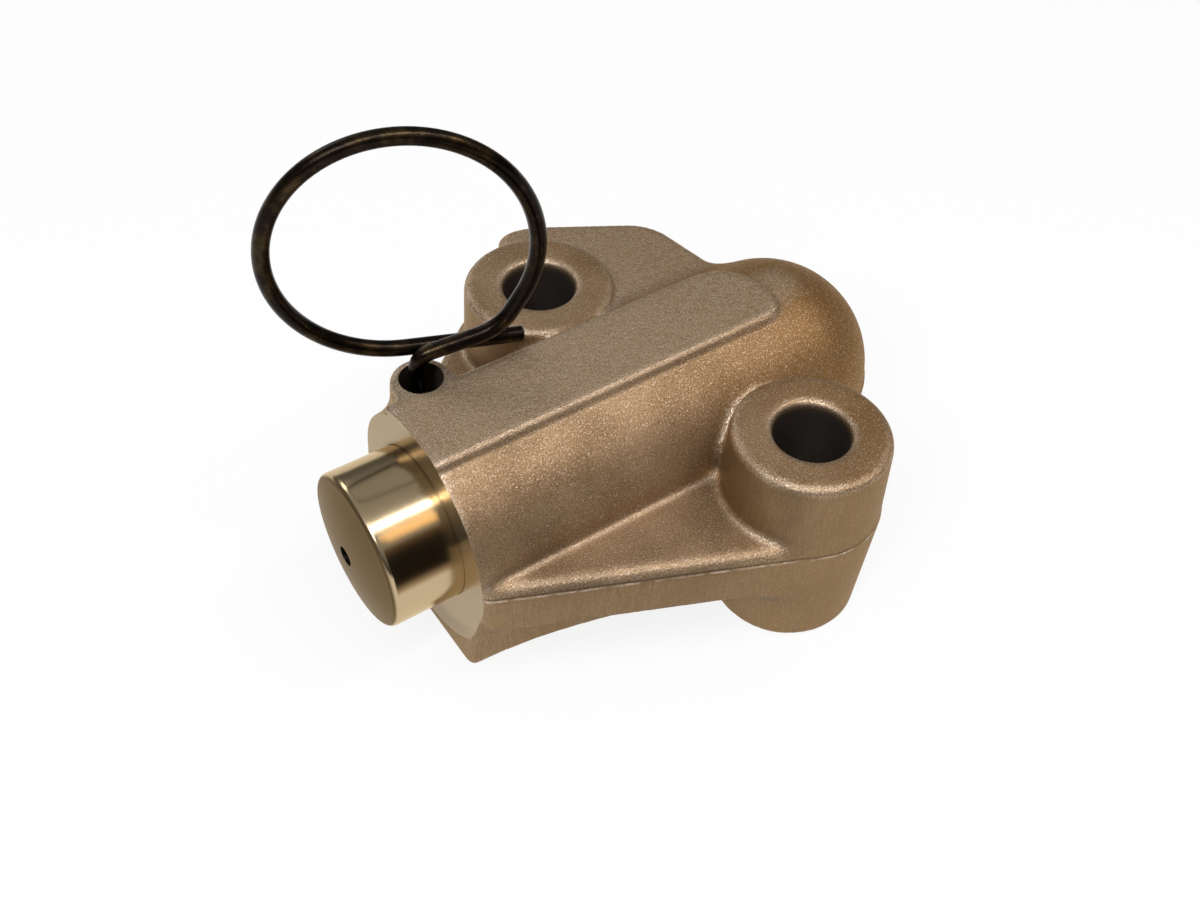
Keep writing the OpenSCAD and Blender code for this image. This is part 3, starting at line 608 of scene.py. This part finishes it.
def cast_field(x, y, z, c):
    """Distance field of the casting's skin: barrel, webs, plate and lugs in soft unions, with a small step
    at the parting plane, cut off by the mounting face, the foot's lip and the bolt holes."""
    web_edge, plate_edge, low_edge, plate_fillet = 1.6 * MM, 1.2 * MM, 0.8 * MM, 1.8 * MM
    plate_rounds = (CRISP, CRISP, 2.4 * MM, 7.5 * MM)
    parting_run = 0.3 * MM
    near, far = lug_places(c)
    body = barrel_field(x, y, z, c)

    web_plan = near_web_field(x, y, z, c, near)
    web = soft_max(soft_max(web_plan, z - c.web_top, web_edge), c.web_under - z, c.soft_edge)
    body = soft_min(body, web, c.web_fillet)
    body = soft_min(body, rib_field(x, y, z, c, near), c.soft_edge)
    body = soft_min(body, far_web_field(x, y, z, c, far), c.web_fillet)

    plate = soft_max(plate_field(x, y, c, far, plate_rounds), z - c.plate_top, plate_edge)
    body = soft_min(body, plate, plate_fillet)

    lug = lug_field(x, y, z, c, near, c.lug_edge)
    under = soft_max(web_plan, soft_min(lug, c.web_under - z, c.low_fillet), low_edge)
    body = np.minimum(body, np.maximum(under, z - TIP[2]))
    levels = [TIP[2], TIP[2] + 1 * MM, c.web_top, c.web_top + 3 * MM]
    fillets = [parting_run, c.web_fillet, c.web_fillet, c.fillet]
    body = soft_min(body, lug, np.interp(z, levels, fillets))
    body = soft_min(body, lug_field(x, y, z, c, far, c.far_lug_edge), c.far_fillet)

    body = body + np.clip((z - TIP[2]) / parting_run, -1, 1) * c.parting_step / 2
    body = soft_max(body, x - c.foot_lip, low_edge)
    body = soft_max(body, -z, low_edge)
    for place in (near, far):
        body = soft_max(body, BOLTS["hole_r_mm"] * MM - from_axis(x, y, place), c.hole_lip)
    return body


def spot_field(x, y, z, c):
    """Field of what is left after the front face is cut flat inside its circle, with a sloped run-out."""
    run_out, slope = 0.6 * MM, 0.4
    past = np.maximum(np.hypot(y, z - TIP[2]) - c.spot_r + run_out, 0)
    return x - slope * past


def bored_field(x, y, z, c):
    """Field of what is left after boring and drilling: bore, clip groove, valve seat, oil chamber, pin hole,
    feed hole, oil groove and the pocket under the plate."""
    seat_r, seat_depth, chamber_r, chamber_back = 7.03 * MM, 47.2 * MM, 4 * MM, 2.2 * MM
    feed_r, groove_r, groove_len, groove_depth = 2 * MM, 3 * MM, 14 * MM, 1.5 * MM
    pocket_round, pocket_edge, clip_gap = 1.5 * MM, 1 * MM, 0.15 * MM
    far = lug_places(c)[1]
    w = bpy.context.scene.tensioner_wire
    p = bpy.context.scene.tensioner_plunger
    r = np.hypot(y, z - TIP[2])
    feed = FEED[0] - front_middle(c)[0]
    clip_r = w.clip_r + w.clip_wire_r + p.notch_depth + clip_gap
    beside_groove = np.hypot(x - np.clip(x, feed, feed + groove_len), y)
    pocket = plate_field(x, y, c, far, 4 * (pocket_round,)) + c.pocket_wall
    pocket = soft_max(pocket, c.lug_parting_r - from_axis(x, y, far), pocket_edge)
    pocket = soft_max(pocket, y + c.barrel_r, pocket_edge)
    gaps = [
        np.maximum(r - c.bore_r, -c.bore_depth - x),
        np.maximum(r - clip_r, np.abs(x + c.pin_back) - p.notch_w / 2),
        np.maximum(np.maximum(r - seat_r, -seat_depth - x), x + c.bore_depth - OVERLAP),
        np.maximum(np.maximum(r - chamber_r, feed - chamber_back - x), x + seat_depth - OVERLAP),
        np.maximum(from_axis(x, y, (-c.pin_back, -c.pin_side)) - c.pin_hole_r, TIP[2] + p.radius / 2 - z),
        np.maximum(from_axis(x, y, (feed, 0)) - feed_r, z - TIP[2]),
        np.maximum(beside_groove - groove_r, z - groove_depth),
        soft_max(pocket, z - c.plate_top + c.pocket_roof, pocket_round),
    ]
    return -np.minimum.reduce(gaps)


def casting_fields(points, c):
    """The three fields whose greatest is the casting's own: cast skin, machined face, and holes."""
    x, y, z = points
    return np.stack([cast_field(x, y, z, c), spot_field(x, y, z, c), bored_field(x, y, z, c)])


def skin_of(field, low, cell, fields):
    """Surface nets: one point in each cell that the surface crosses, at the mean of its crossings of the
    cell's edges, and one four-sided face round each grid edge that the surface crosses. Also tells which of
    the fields makes the surface in each cell: more than one where an edge runs through it."""
    inside = field < 0
    corners = [
        inside[i:field.shape[0] - 1 + i, j:field.shape[1] - 1 + j, k:field.shape[2] - 1 + k]
        for i in (0, 1) for j in (0, 1) for k in (0, 1)
    ]
    crossed = np.logical_or.reduce(corners) & ~np.logical_and.reduce(corners)
    cells = np.argwhere(crossed)
    number = np.full(crossed.shape, -1)
    number[crossed] = np.arange(len(cells))
    total, count = np.zeros((len(cells), 3)), np.zeros(len(cells))
    makers = np.zeros((len(cells), 3), bool)
    faces = []
    for axis in range(3):
        others = [a for a in range(3) if a != axis]
        for i, j in ((0, 0), (0, 1), (1, 0), (1, 1)):
            offset = np.zeros(3, int)
            offset[others] = i, j
            end = offset.copy()
            end[axis] = 1
            a, b = (field[tuple((cells + step).T)] for step in (offset, end))
            hit = np.flatnonzero((a < 0) != (b < 0))
            place = np.repeat(offset[None].astype(float), len(hit), 0)
            place[:, axis] = a[hit] / (a[hit] - b[hit])
            total[hit] += place
            count[hit] += 1
            makers[hit, fields((low + cell * (cells[hit] + place)).T).argmax(0)] = True
        ahead = np.roll(inside, -1, axis)
        edges = inside != ahead
        edges[tuple(slice(-1, None) if a == axis else slice(None) for a in range(3))] = False
        for a in others:
            edges[tuple(slice(0, 1) if b == a else slice(None) for b in range(3))] = False
        at = np.argwhere(edges)
        out = inside[tuple(at.T)]
        ring = []
        for i, j in ((-1, -1), (0, -1), (0, 0), (-1, 0)):
            shift = np.zeros(3, int)
            shift[others] = i, j
            ring.append(number[tuple((at + shift).T)])
        ring = np.stack(ring, 1)
        turned = out if axis != 1 else ~out
        faces.append(np.where(turned[:, None], ring, ring[:, ::-1]))
    points = low + cell * (cells + total / count[:, None])
    return points, np.concatenate(faces), makers


def settle(points, fields, makers, cell, rounds=6):
    """Newton steps onto the surface: each is the shortest move that brings to zero all fields that make it
    there, and at most half a cell. A little on the diagonal keeps the equations solvable."""
    tiny = 0.01 * MM
    diagonal = np.where(makers, 1e-4, 1.0)[:, :, None] * np.eye(3)
    for _ in range(rounds):
        values = fields(points.T).T * makers
        slopes = []
        for axis in range(3):
            moved = np.zeros(3)
            moved[axis] = tiny
            slopes.append((fields((points + moved).T) - fields((points - moved).T)).T / (2 * tiny))
        slope = np.stack(slopes, -1) * makers[:, :, None]
        pull = np.linalg.solve(slope @ slope.transpose(0, 2, 1) + diagonal, values[:, :, None])
        step = -(slope.transpose(0, 2, 1) @ pull)[:, :, 0]
        far = np.linalg.norm(step, axis=1)
        points = points + step * np.minimum(1, 0.5 * cell / np.maximum(far, tiny))[:, None]
    return points


def bend_of(mesh, points, normals):
    """How sharply a mesh bends at each point, in 1/m: the change of the normals over the length of an edge,
    taken as the mean over the point's edges and evened out twice with its neighbours."""
    ends = np.empty(2 * len(mesh.edges), np.int32)
    mesh.edges.foreach_get("vertices", ends)
    a, b = ends[::2], ends[1::2]
    change = np.linalg.norm(normals[a] - normals[b], axis=1)
    bend = change / np.linalg.norm(points[a] - points[b], axis=1)
    joined = np.bincount(ends, minlength=len(points))
    at_point = np.bincount(ends, np.repeat(bend, 2), len(points)) / joined
    for _ in range(2):
        nearby = np.bincount(a, at_point[b], len(points)) + np.bincount(b, at_point[a], len(points))
        at_point = (at_point + nearby / joined) / 2
    return at_point


def fade(values, zero, one):
    """Straight run from 0 where a value is zero to 1 where it is one, level beyond both."""
    return np.clip((values - zero) / (one - zero), 0, 1)


def skin_marks(points, normals, bend, c):
    """What the casting's finish reads at each point: painted shade in the bolt holes and on faces that hang,
    drawn on steep walls beside the lugs and below the parting plane, pale on the level tops of the pad and
    the plate, and wear with a painted highlight where the skin bends and doesn't face down."""
    x, y, z = points.T
    up = normals[:, 2]
    to_axis = np.minimum(*(from_axis(x, y, place) for place in lug_places(c)))
    in_hole = to_axis < BOLTS["hole_r_mm"] * MM + 0.05 * MM
    # Painted shade inside the bolt holes, from just below the lip.
    depth = fade(z, c.lug_h - 0.5 * MM, c.lug_h - 1.4 * MM) * in_hole
    # Painted shade on faces that point down, where the part's own shadow falls.
    hanging = fade(up, -0.067, -0.733) * (z > 1 * MM)
    beside_lug = fade(to_axis - c.lug_parting_r, 1.5 * MM, 0.5 * MM)
    low_half = fade(z, TIP[2], TIP[2] - 0.5 * MM)
    on_pad = fade(z, c.pad_top - 0.75 * MM, c.pad_top - 0.25 * MM)
    on_plate = fade(np.abs(z - c.plate_top), 0.6 * MM, 0.2 * MM)
    return {
        "deep": np.maximum(0.95 * depth, 0.8 * hanging),
        "drawn": fade(np.abs(up), 0.533, 0.2) * np.maximum(beside_lug, low_half),
        "pale": fade(up, 0.75, 1.0) * np.maximum(on_pad, 0.9 * on_plate),
        # Wear on bent edges, and a painted highlight on bent edges and fillets alike; kept off faces that
        # point down.
        "worn": fade(up, -0.2, 0.467) * fade(bend, 0.26 / MM, 0.71 / MM),
    }


def tube(path, radius, ref, sides):
    """Round wire along a path: a circle carried along it, with chamfered ends. The path never runs along
    the direction ref."""
    along = np.gradient(path, axis=0)
    along /= np.linalg.norm(along, axis=1)[:, None]
    u = np.cross(ref, along)
    u /= np.linalg.norm(u, axis=1)[:, None]
    v = np.cross(along, u)
    chamfer = 0.22 * radius
    first, last = path[:1] + along[:1] * chamfer, path[-1:] - along[-1:] * chamfer
    path = np.concatenate([path[:1], first, path[1:-1], last, path[-1:]])
    u = np.concatenate([u[:1], u, u[-1:]])
    v = np.concatenate([v[:1], v, v[-1:]])
    girth = np.full(len(path), radius)
    girth[[0, -1]] = radius - chamfer
    turn = np.linspace(0, 2 * np.pi, sides, endpoint=False)
    rings = (
        path[:, None]
        + (girth[:, None] * np.cos(turn))[..., None] * u[:, None]
        + (girth[:, None] * np.sin(turn))[..., None] * v[:, None]
    )
    corner = np.arange(len(path) * sides).reshape(len(path), sides)
    ahead = np.roll(corner, -1, 1)
    walls = np.stack([corner[:-1], ahead[:-1], ahead[1:], corner[1:]], -1).reshape(-1, 4).tolist()
    return rings.reshape(-1, 3), [corner[0][::-1].tolist()] + walls + [corner[-1].tolist()]


def bent_path(bends, tail, start, heading, step):
    """Flat wire path: each bend is a straight feed, a radius, a turn and a sideways set spread over the
    turn. Points lie about step apart; the result holds x, sideways and z."""
    at, aside = np.array(start, float), 0.0
    path = [np.array([[at[0], 0.0, at[1]]])]

    def go_straight(run):
        nonlocal at
        if run <= 0:
            return
        count = max(2, round(run / step))
        t = np.linspace(0, run, count + 1)[1:]
        x, z = at[0] + t * math.cos(heading), at[1] + t * math.sin(heading)
        path.append(np.stack([x, np.full(count, aside), z], 1))
        at = np.array([x[-1], z[-1]])

    for feed, radius, turn, sideways in bends:
        go_straight(feed)
        side = math.copysign(1, turn)
        middle = at + side * radius * np.array([-math.sin(heading), math.cos(heading)])
        count = max(6, round(abs(turn) * radius / step))
        t = np.linspace(0, 1, count + 1)[1:]
        h = heading + turn * t
        x, z = middle[0] + side * radius * np.sin(h), middle[1] - side * radius * np.cos(h)
        path.append(np.stack([x, aside + sideways * t * t * (3 - 2 * t), z], 1))
        at, heading, aside = np.array([x[-1], z[-1]]), heading + turn, aside + sideways
    go_straight(tail)
    return np.concatenate(path)


def coil_path(low, high, r, wire_r, turns, steps):
    """Coil along x from low to high on the bore axis, with one closed turn at each end."""
    turn = np.arange(turns * steps + 1) / steps
    bottom, top = low + wire_r, high - wire_r
    pitch = (top - bottom - 4 * wire_r) / (turns - 2)
    closed = np.minimum(turn, 1) + np.maximum(turn - turns + 1, 0)
    x = bottom + 2 * wire_r * closed + pitch * np.clip(turn - 1, 0, turns - 2)
    return np.stack([x, TIP[1] + r * np.cos(2 * np.pi * turn), TIP[2] + r * np.sin(2 * np.pi * turn)], 1)


class TENSIONER_OT_housing(bpy.types.Operator):
    """Builds the die casting as one soft skin with cut faces and bores"""

    bl_idname = "tensioner.housing"
    bl_label = "Housing"

    def execute(self, context):
        c = context.scene.tensioner_casting
        fields = partial(casting_fields, c=c)
        origin = front_middle(c)
        low, high = (np.array(corner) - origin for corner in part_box("housing"))
        margin = 3 * c.cell
        counts = np.ceil((high - low + 2 * margin) / c.cell).astype(int)
        start = low - margin
        # The parting plane lies midway between two levels of the grid.
        start[2] = TIP[2] - c.cell * (round((TIP[2] - start[2]) / c.cell) + 0.5)
        axes = [start[i] + c.cell * np.arange(counts[i] + 1) for i in range(3)]
        grid = np.meshgrid(*axes, indexing="ij")
        points, faces, makers = skin_of(fields(grid).max(0), start, c.cell, fields)
        points = settle(points, fields, makers, c.cell)
        finish = cast_finish(context.scene.tensioner_colours)
        piece = add_piece(
            "housing_casting", points + origin, faces.tolist(), finish, "housing", CAST_EDGE
        )
        cut_face = fields(points[faces].mean(1).T).argmax(0) > 0
        paint(piece.data, "machined", cut_face, "FACE")
        normals = np.empty(points.size, np.float32)
        piece.data.vertex_normals.foreach_get("vector", normals)
        normals = normals.reshape(-1, 3)
        bend = bend_of(piece.data, points, normals)
        for name, values in skin_marks(points, normals, bend, c).items():
            paint(piece.data, name, values)
        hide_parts("housing")
        return {"FINISHED"}


class TENSIONER_OT_plunger(bpy.types.Operator):
    """Turns the plunger as one closed profile round the bore axis"""

    bl_idname = "tensioner.plunger"
    bl_label = "Plunger"

    def execute(self, context):
        p = context.scene.tensioner_plunger
        c = context.scene.tensioner_casting
        face = TIP[0] - c.plunger_out
        inside, rear = TIP[0] - p.crown_t, TIP[0] - p.length
        crown_steps, rim_steps, wall_steps = 21, 8, 7
        rear_edge = 0.5 * MM

        def dome(r):
            return TIP[0] - p.crown_r + np.sqrt(p.crown_r ** 2 - r ** 2)

        crown_rs = np.linspace(p.vent_mouth_r, p.radius - p.rim, crown_steps + 1)
        rim_x = dome(p.radius - p.rim)
        turns = np.linspace(0, np.pi / 2, rim_steps + 1)[1:]
        rim = [(rim_x - p.rim * (1 - math.cos(t)), p.radius - p.rim * (1 - math.sin(t))) for t in turns]
        profile = [(inside, p.vent_r), (TIP[0] - p.vent_mouth, p.vent_r)]
        profile += [(dome(r), r) for r in crown_rs] + rim
        profile += [(x, p.radius) for x in np.linspace(rim[-1][0], face, wall_steps + 1)[1:]]
        for i in range(p.notch_count):
            x = face - c.pin_back - i * p.notch_pitch
            floor = p.radius - p.notch_depth
            profile += [
                (x + p.notch_w / 2, p.radius), (x + p.notch_w / 2, floor),
                (x - p.notch_w / 2, floor), (x - p.notch_w / 2 - p.notch_depth, p.radius),
            ]
        profile += [(rear + rear_edge, p.radius), (rear, p.radius - rear_edge)]
        profile += [(rear, p.bore_r), (inside, p.bore_r)]
        x, r = np.array(profile).T
        turn = np.linspace(0, 2 * np.pi, p.sides, endpoint=False)
        y, z = TIP[1] + r[:, None] * np.cos(turn), TIP[2] + r[:, None] * np.sin(turn)
        points = np.stack([np.repeat(x[:, None], p.sides, 1), y, z], -1).reshape(-1, 3)
        corner = np.arange(len(points)).reshape(len(x), p.sides)
        below, ahead = np.roll(corner, -1, 0), np.roll(corner, -1, 1)
        faces = np.stack([corner, ahead, np.roll(below, -1, 1), below], -1).reshape(-1, 4).tolist()
        finish = ground_finish(context.scene.tensioner_colours, p.vent_mouth_r)
        piece = add_piece("plunger_ground", points, faces, finish, "plunger", GROUND_EDGE)
        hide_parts("plunger")
        return {"FINISHED"}


class TENSIONER_OT_wires(bpy.types.Operator):
    """Bends the lock pin with its pull ring and the ratchet clip"""

    bl_idname = "tensioner.wires"
    bl_label = "Lock pin and clip"

    def execute(self, context):
        w = context.scene.tensioner_wire
        c = context.scene.tensioner_casting
        colours = context.scene.tensioner_colours
        black = wire_finish("dark_wire", colours.black, colours.bronze)
        grey = wire_finish("grey_wire", colours.grey, colours.bright)
        origin = front_middle(c)
        leg = c.pad_top + w.pin_rise - w.pin_bottom
        bends = [
            (leg, w.pin_bend_r, -w.pin_bend, 0.0),
            (w.pin_reach, w.elbow_r, w.elbow, 0.0),
            (w.elbow_reach, w.ring_r, w.ring_sweep, w.ring_set),
        ]
        flat = bent_path(bends, w.ring_end, (0, 0), math.pi / 2, w.step)
        turn = np.array(Matrix.Rotation(w.ring_turn, 3, "Z"))
        path = flat @ turn.T + origin + np.array([-c.pin_back, -w.pin_side, w.pin_bottom])
        points, faces = tube(path, w.pin_r, turn[:, 1], w.sides)
        pin = add_piece("lock_pin_wire", points, faces, black, "lock_pin", WIRE_EDGE)
        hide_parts("lock_pin")

        free = w.clip_leave - w.clip_opening
        bends = [
            (0.0, w.clip_r, w.clip_opening - 2 * math.pi, 0.0),
            (0.0, w.clip_bend_r, math.pi - w.clip_leave, 0.0),
        ]
        start = (w.clip_r * math.cos(free), w.clip_r * math.sin(free))
        flat = bent_path(bends, w.clip_tang, start, free - math.pi / 2, w.step)
        path = np.stack([flat[:, 1] - c.pin_back, flat[:, 0], flat[:, 2] + TIP[2]], 1) + origin
        points, faces = tube(path, w.clip_wire_r, np.array([1.0, 0, 0]), w.inner_sides)
        clip = add_piece("ratchet_clip_wire", points, faces, grey, "housing", WIRE_EDGE)
        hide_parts("ratchet_clip")
        return {"FINISHED"}


class TENSIONER_OT_springs(bpy.types.Operator):
    """Winds the plunger spring and the valve spring"""

    bl_idname = "tensioner.springs"
    bl_label = "Springs"

    def execute(self, context):
        w = context.scene.tensioner_wire
        bright = bright_finish(context.scene.tensioner_colours)
        wound = [
            ("plunger_spring", w.spring_wire_r, w.spring_turns, "housing", "plunger"),
            ("check_valve_spring", w.valve_wire_r, w.valve_turns, "check_ball", "housing"),
        ]
        for node, wire_r, turns, held, moved in wound:
            low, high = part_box(node)
            r = (high.y - low.y) / 2 - wire_r
            path = coil_path(low.x, high.x, r, wire_r, turns, w.coil_steps)
            points, faces = tube(path, wire_r, np.array([1.0, 0, 0]), w.inner_sides)
            spring = add_piece(node + "_coil", points, faces, bright, None, WIRE_EDGE)
            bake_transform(spring)
            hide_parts(node)
        return {"FINISHED"}


class TENSIONER_OT_inner_parts(bpy.types.Operator):
    """Gives the valve parts and the filler their finishes"""

    bl_idname = "tensioner.inner_parts"
    bl_label = "Valve and filler"

    def execute(self, context):
        colours = context.scene.tensioner_colours
        bright = bright_finish(colours)
        nylon = nylon_finish(colours)
        finishes = {
            "check_valve_seat": bright,
            "check_valve_ball": bright,
            "check_valve_cage": bright,
            "vent_disc": nylon,
            "volume_reducer": nylon,
        }
        for node, finish in finishes.items():
            for holder in frame["nodes"][node].material_slots:
                holder.material = finish
        return {"FINISHED"}


# Name, place, size, watts and colour of each soft box.
LAMPS = (
    ("top_box", (0.0, 0.15, 0.43), (0.60, 0.036), 1.3, (0.97, 1.0, 1.06)),
    ("side_box", (-0.22, 0.26, 0.45), (0.36, 0.14), 0.28, (1.0, 0.62, 0.22)),
    ("front_box", (0.40, 0.16, 0.42), (0.14, 0.14), 1.0, (0.97, 1.0, 1.05)),
    ("low_box", (0.10, -0.42, 0.28), (0.25, 0.12), 0.28, (1.0, 1.0, 1.0)),
)


def placement(right, up, back, place):
    """Placement whose axes are right, up and back."""
    matrix = np.eye(4)
    matrix[:3] = np.stack([right, up, back, place], 1)
    return Matrix(matrix)


def add_lamp(aim, name, place, size, watts, colour):
    """A flat soft box at place that shines at aim."""
    lamp = bpy.data.lights.new(name, "AREA")
    lamp.shape = "RECTANGLE"
    lamp.size, lamp.size_y = size
    lamp.energy = watts
    lamp.color = colour
    holder = bpy.data.objects.new(name, lamp)
    bpy.context.scene.collection.objects.link(holder)
    back = np.subtract(place, aim)
    back /= np.linalg.norm(back)
    right = np.cross((0, 0, 1), back)
    right /= np.linalg.norm(right)
    holder.matrix_world = placement(right, np.cross(back, right), back, place)


def add_card(name, corners, material):
    """A flat sheet with four corners."""
    mesh = bpy.data.meshes.new(name)
    mesh.from_pydata(corners, [], [(0, 1, 2, 3)])
    mesh.materials.append(material)
    card = bpy.data.objects.new(name, mesh)
    bpy.context.scene.collection.objects.link(card)
    return card


class TENSIONER_OT_stage(bpy.types.Operator):
    """Sets the floor, the soft light and the camera"""

    bl_idname = "tensioner.stage"
    bl_label = "Stage"

    def execute(self, context):
        scene = context.scene
        scene.view_settings.view_transform = "Standard"
        self.light_world(scene)
        self.lay_floor(scene)
        aim = (0, 0, 15 * MM)
        for lamp in LAMPS:
            add_lamp(aim, *lamp)
        self.set_flag()
        self.place_camera(scene)
        return {"FINISHED"}

    def light_world(self, scene):
        """White light that grows from the horizon up to a height of full, the sine of an angle."""
        at_horizon, overhead, full = 0.05, 0.38, 0.8
        world = bpy.data.worlds.new("studio")
        world.use_nodes = True
        nodes, links = world.node_tree.nodes, world.node_tree.links
        way = nodes.new("ShaderNodeTexCoord")
        parts = nodes.new("ShaderNodeSeparateXYZ")
        level = nodes.new("ShaderNodeMapRange")
        level.interpolation_type = "SMOOTHSTEP"
        level.inputs["From Max"].default_value = full
        level.inputs["To Min"].default_value = at_horizon
        level.inputs["To Max"].default_value = overhead
        links.new(way.outputs["Generated"], parts.inputs["Vector"])
        links.new(parts.outputs["Z"], level.inputs["Value"])
        links.new(level.outputs["Result"], nodes["Background"].inputs["Strength"])
        nodes["Background"].inputs["Color"].default_value = (1.0, 1.0, 1.0, 1.0)
        scene.world = world

    def lay_floor(self, scene):
        """A wide flat floor that reads white to the eye and in reflections, and keeps a light shadow."""
        reach, z, whiteness = 3.0, -0.05 * MM, 0.85
        colour = (*scene.tensioner_colours.floor, 1.0)
        finish = Finish("floor", {"Base Color": colour, "Roughness": 0.9, "Specular IOR Level": 0.1})
        rays = ("Is Camera Ray", "Is Glossy Ray", "Is Transmission Ray")
        seen, glossy, clear = (finish.node("ShaderNodeLightPath", {}, {}, ray) for ray in rays)
        for other in (glossy, clear):
            seen = seen.math("MAXIMUM", seen, other)
        white = finish.node("ShaderNodeEmission", {}, {"Color": (1.0, 1.0, 1.0, 1.0), "Strength": 1.0})
        shader = Value(finish, finish.shader.outputs["BSDF"])
        both = finish.node("ShaderNodeMixShader", {}, {0: seen * whiteness, 1: shader, 2: white})
        output = finish.tree.nodes["Material Output"]
        finish.tree.links.new(both.socket, output.inputs["Surface"])
        corners = [(-reach, -reach, z), (reach, -reach, z), (reach, reach, z), (-reach, reach, z)]
        floor = add_card("floor", corners, finish.material)

    def set_flag(self):
        """A card beside the plunger that only reflections see, a painted reflection for the bands of its
        polish: it glows pale near the floor, is dark above that and glows a little warm at the top."""
        rear, front, side, bottom, top = 11 * MM, 40 * MM, 36 * MM, 0.5 * MM, 46 * MM
        pale, dark, warm = (0.60, 0.49, 0.39), (0.012, 0.009, 0.006), (0.12, 0.07, 0.028)
        finish = Finish(
            "flag", {"Base Color": (0, 0, 0, 1.0), "Specular IOR Level": 0.0, "Emission Strength": 1.0}
        )
        z = finish.along("Z")
        tone = finish.mix(z.ramp(1 * MM, 11 * MM), pale, dark)
        tone = finish.mix(z.ramp(34 * MM, top), tone, warm)
        finish.feed({"Emission Color": tone})
        corners = [(rear, side, bottom), (front, side, bottom), (front, side, top), (rear, side, top)]
        flag = add_card("flag", corners, finish.material)
        for ray in ("camera", "diffuse", "shadow", "transmission"):
            setattr(flag, "visible_" + ray, False)

    def place_camera(self, scene):
        """The camera of the photograph: its place, its heading, height and roll, and its lens."""
        place = np.array([73.5, 87.0, 129.9]) * MM
        heading, height, roll = math.radians(143.46), math.radians(46.73), 0.051
        sensor_mm, focal_px, photo_px = 36.0, 1361.08, 1200
        level = math.cos(height)
        back = np.array([math.sin(heading) * level, -math.cos(heading) * level, math.sin(height)])
        right = np.array([math.cos(heading), math.sin(heading), 0.0])
        level_view = placement(right, np.cross(back, right), back, place)
        lens = bpy.data.cameras.new("camera")
        lens.sensor_fit = "HORIZONTAL"
        lens.sensor_width = sensor_mm
        lens.lens = sensor_mm * focal_px / photo_px
        lens.clip_start = 5 * MM
        camera = bpy.data.objects.new("camera", lens)
        scene.collection.objects.link(camera)
        camera.matrix_world = level_view @ Matrix.Rotation(roll, 4, "Z")
        scene.camera = camera


class TENSIONER_PT_panel(bpy.types.Panel):
    """Lists the steps that dress the tensioner"""

    bl_label = "Tensioner"
    bl_idname = "TENSIONER_PT_panel"
    bl_space_type = "VIEW_3D"
    bl_region_type = "UI"
    bl_category = "Tensioner"

    def draw(self, context):
        for step in STEPS:
            self.layout.operator(step.bl_idname)


STEPS = (
    TENSIONER_OT_housing,
    TENSIONER_OT_plunger,
    TENSIONER_OT_wires,
    TENSIONER_OT_springs,
    TENSIONER_OT_inner_parts,
    TENSIONER_OT_stage,
)
GROUPS = {
    "tensioner_casting": CastingSizes,
    "tensioner_plunger": PlungerSizes,
    "tensioner_wire": WireSizes,
    "tensioner_colours": FinishColours,
}


def register():
    for cls in (*GROUPS.values(), *STEPS, TENSIONER_PT_panel):
        bpy.utils.register_class(cls)
    for name, group in GROUPS.items():
        setattr(bpy.types.Scene, name, PointerProperty(type=group))


def unregister():
    for name in GROUPS:
        delattr(bpy.types.Scene, name)
    for cls in reversed((*GROUPS.values(), *STEPS, TENSIONER_PT_panel)):
        bpy.utils.unregister_class(cls)


def main():
    register()
    bpy.ops.tensioner.housing()
    bpy.ops.tensioner.plunger()
    bpy.ops.tensioner.wires()
    bpy.ops.tensioner.springs()
    bpy.ops.tensioner.inner_parts()
    bpy.ops.tensioner.stage()


if __name__ == "__main__":
    main()
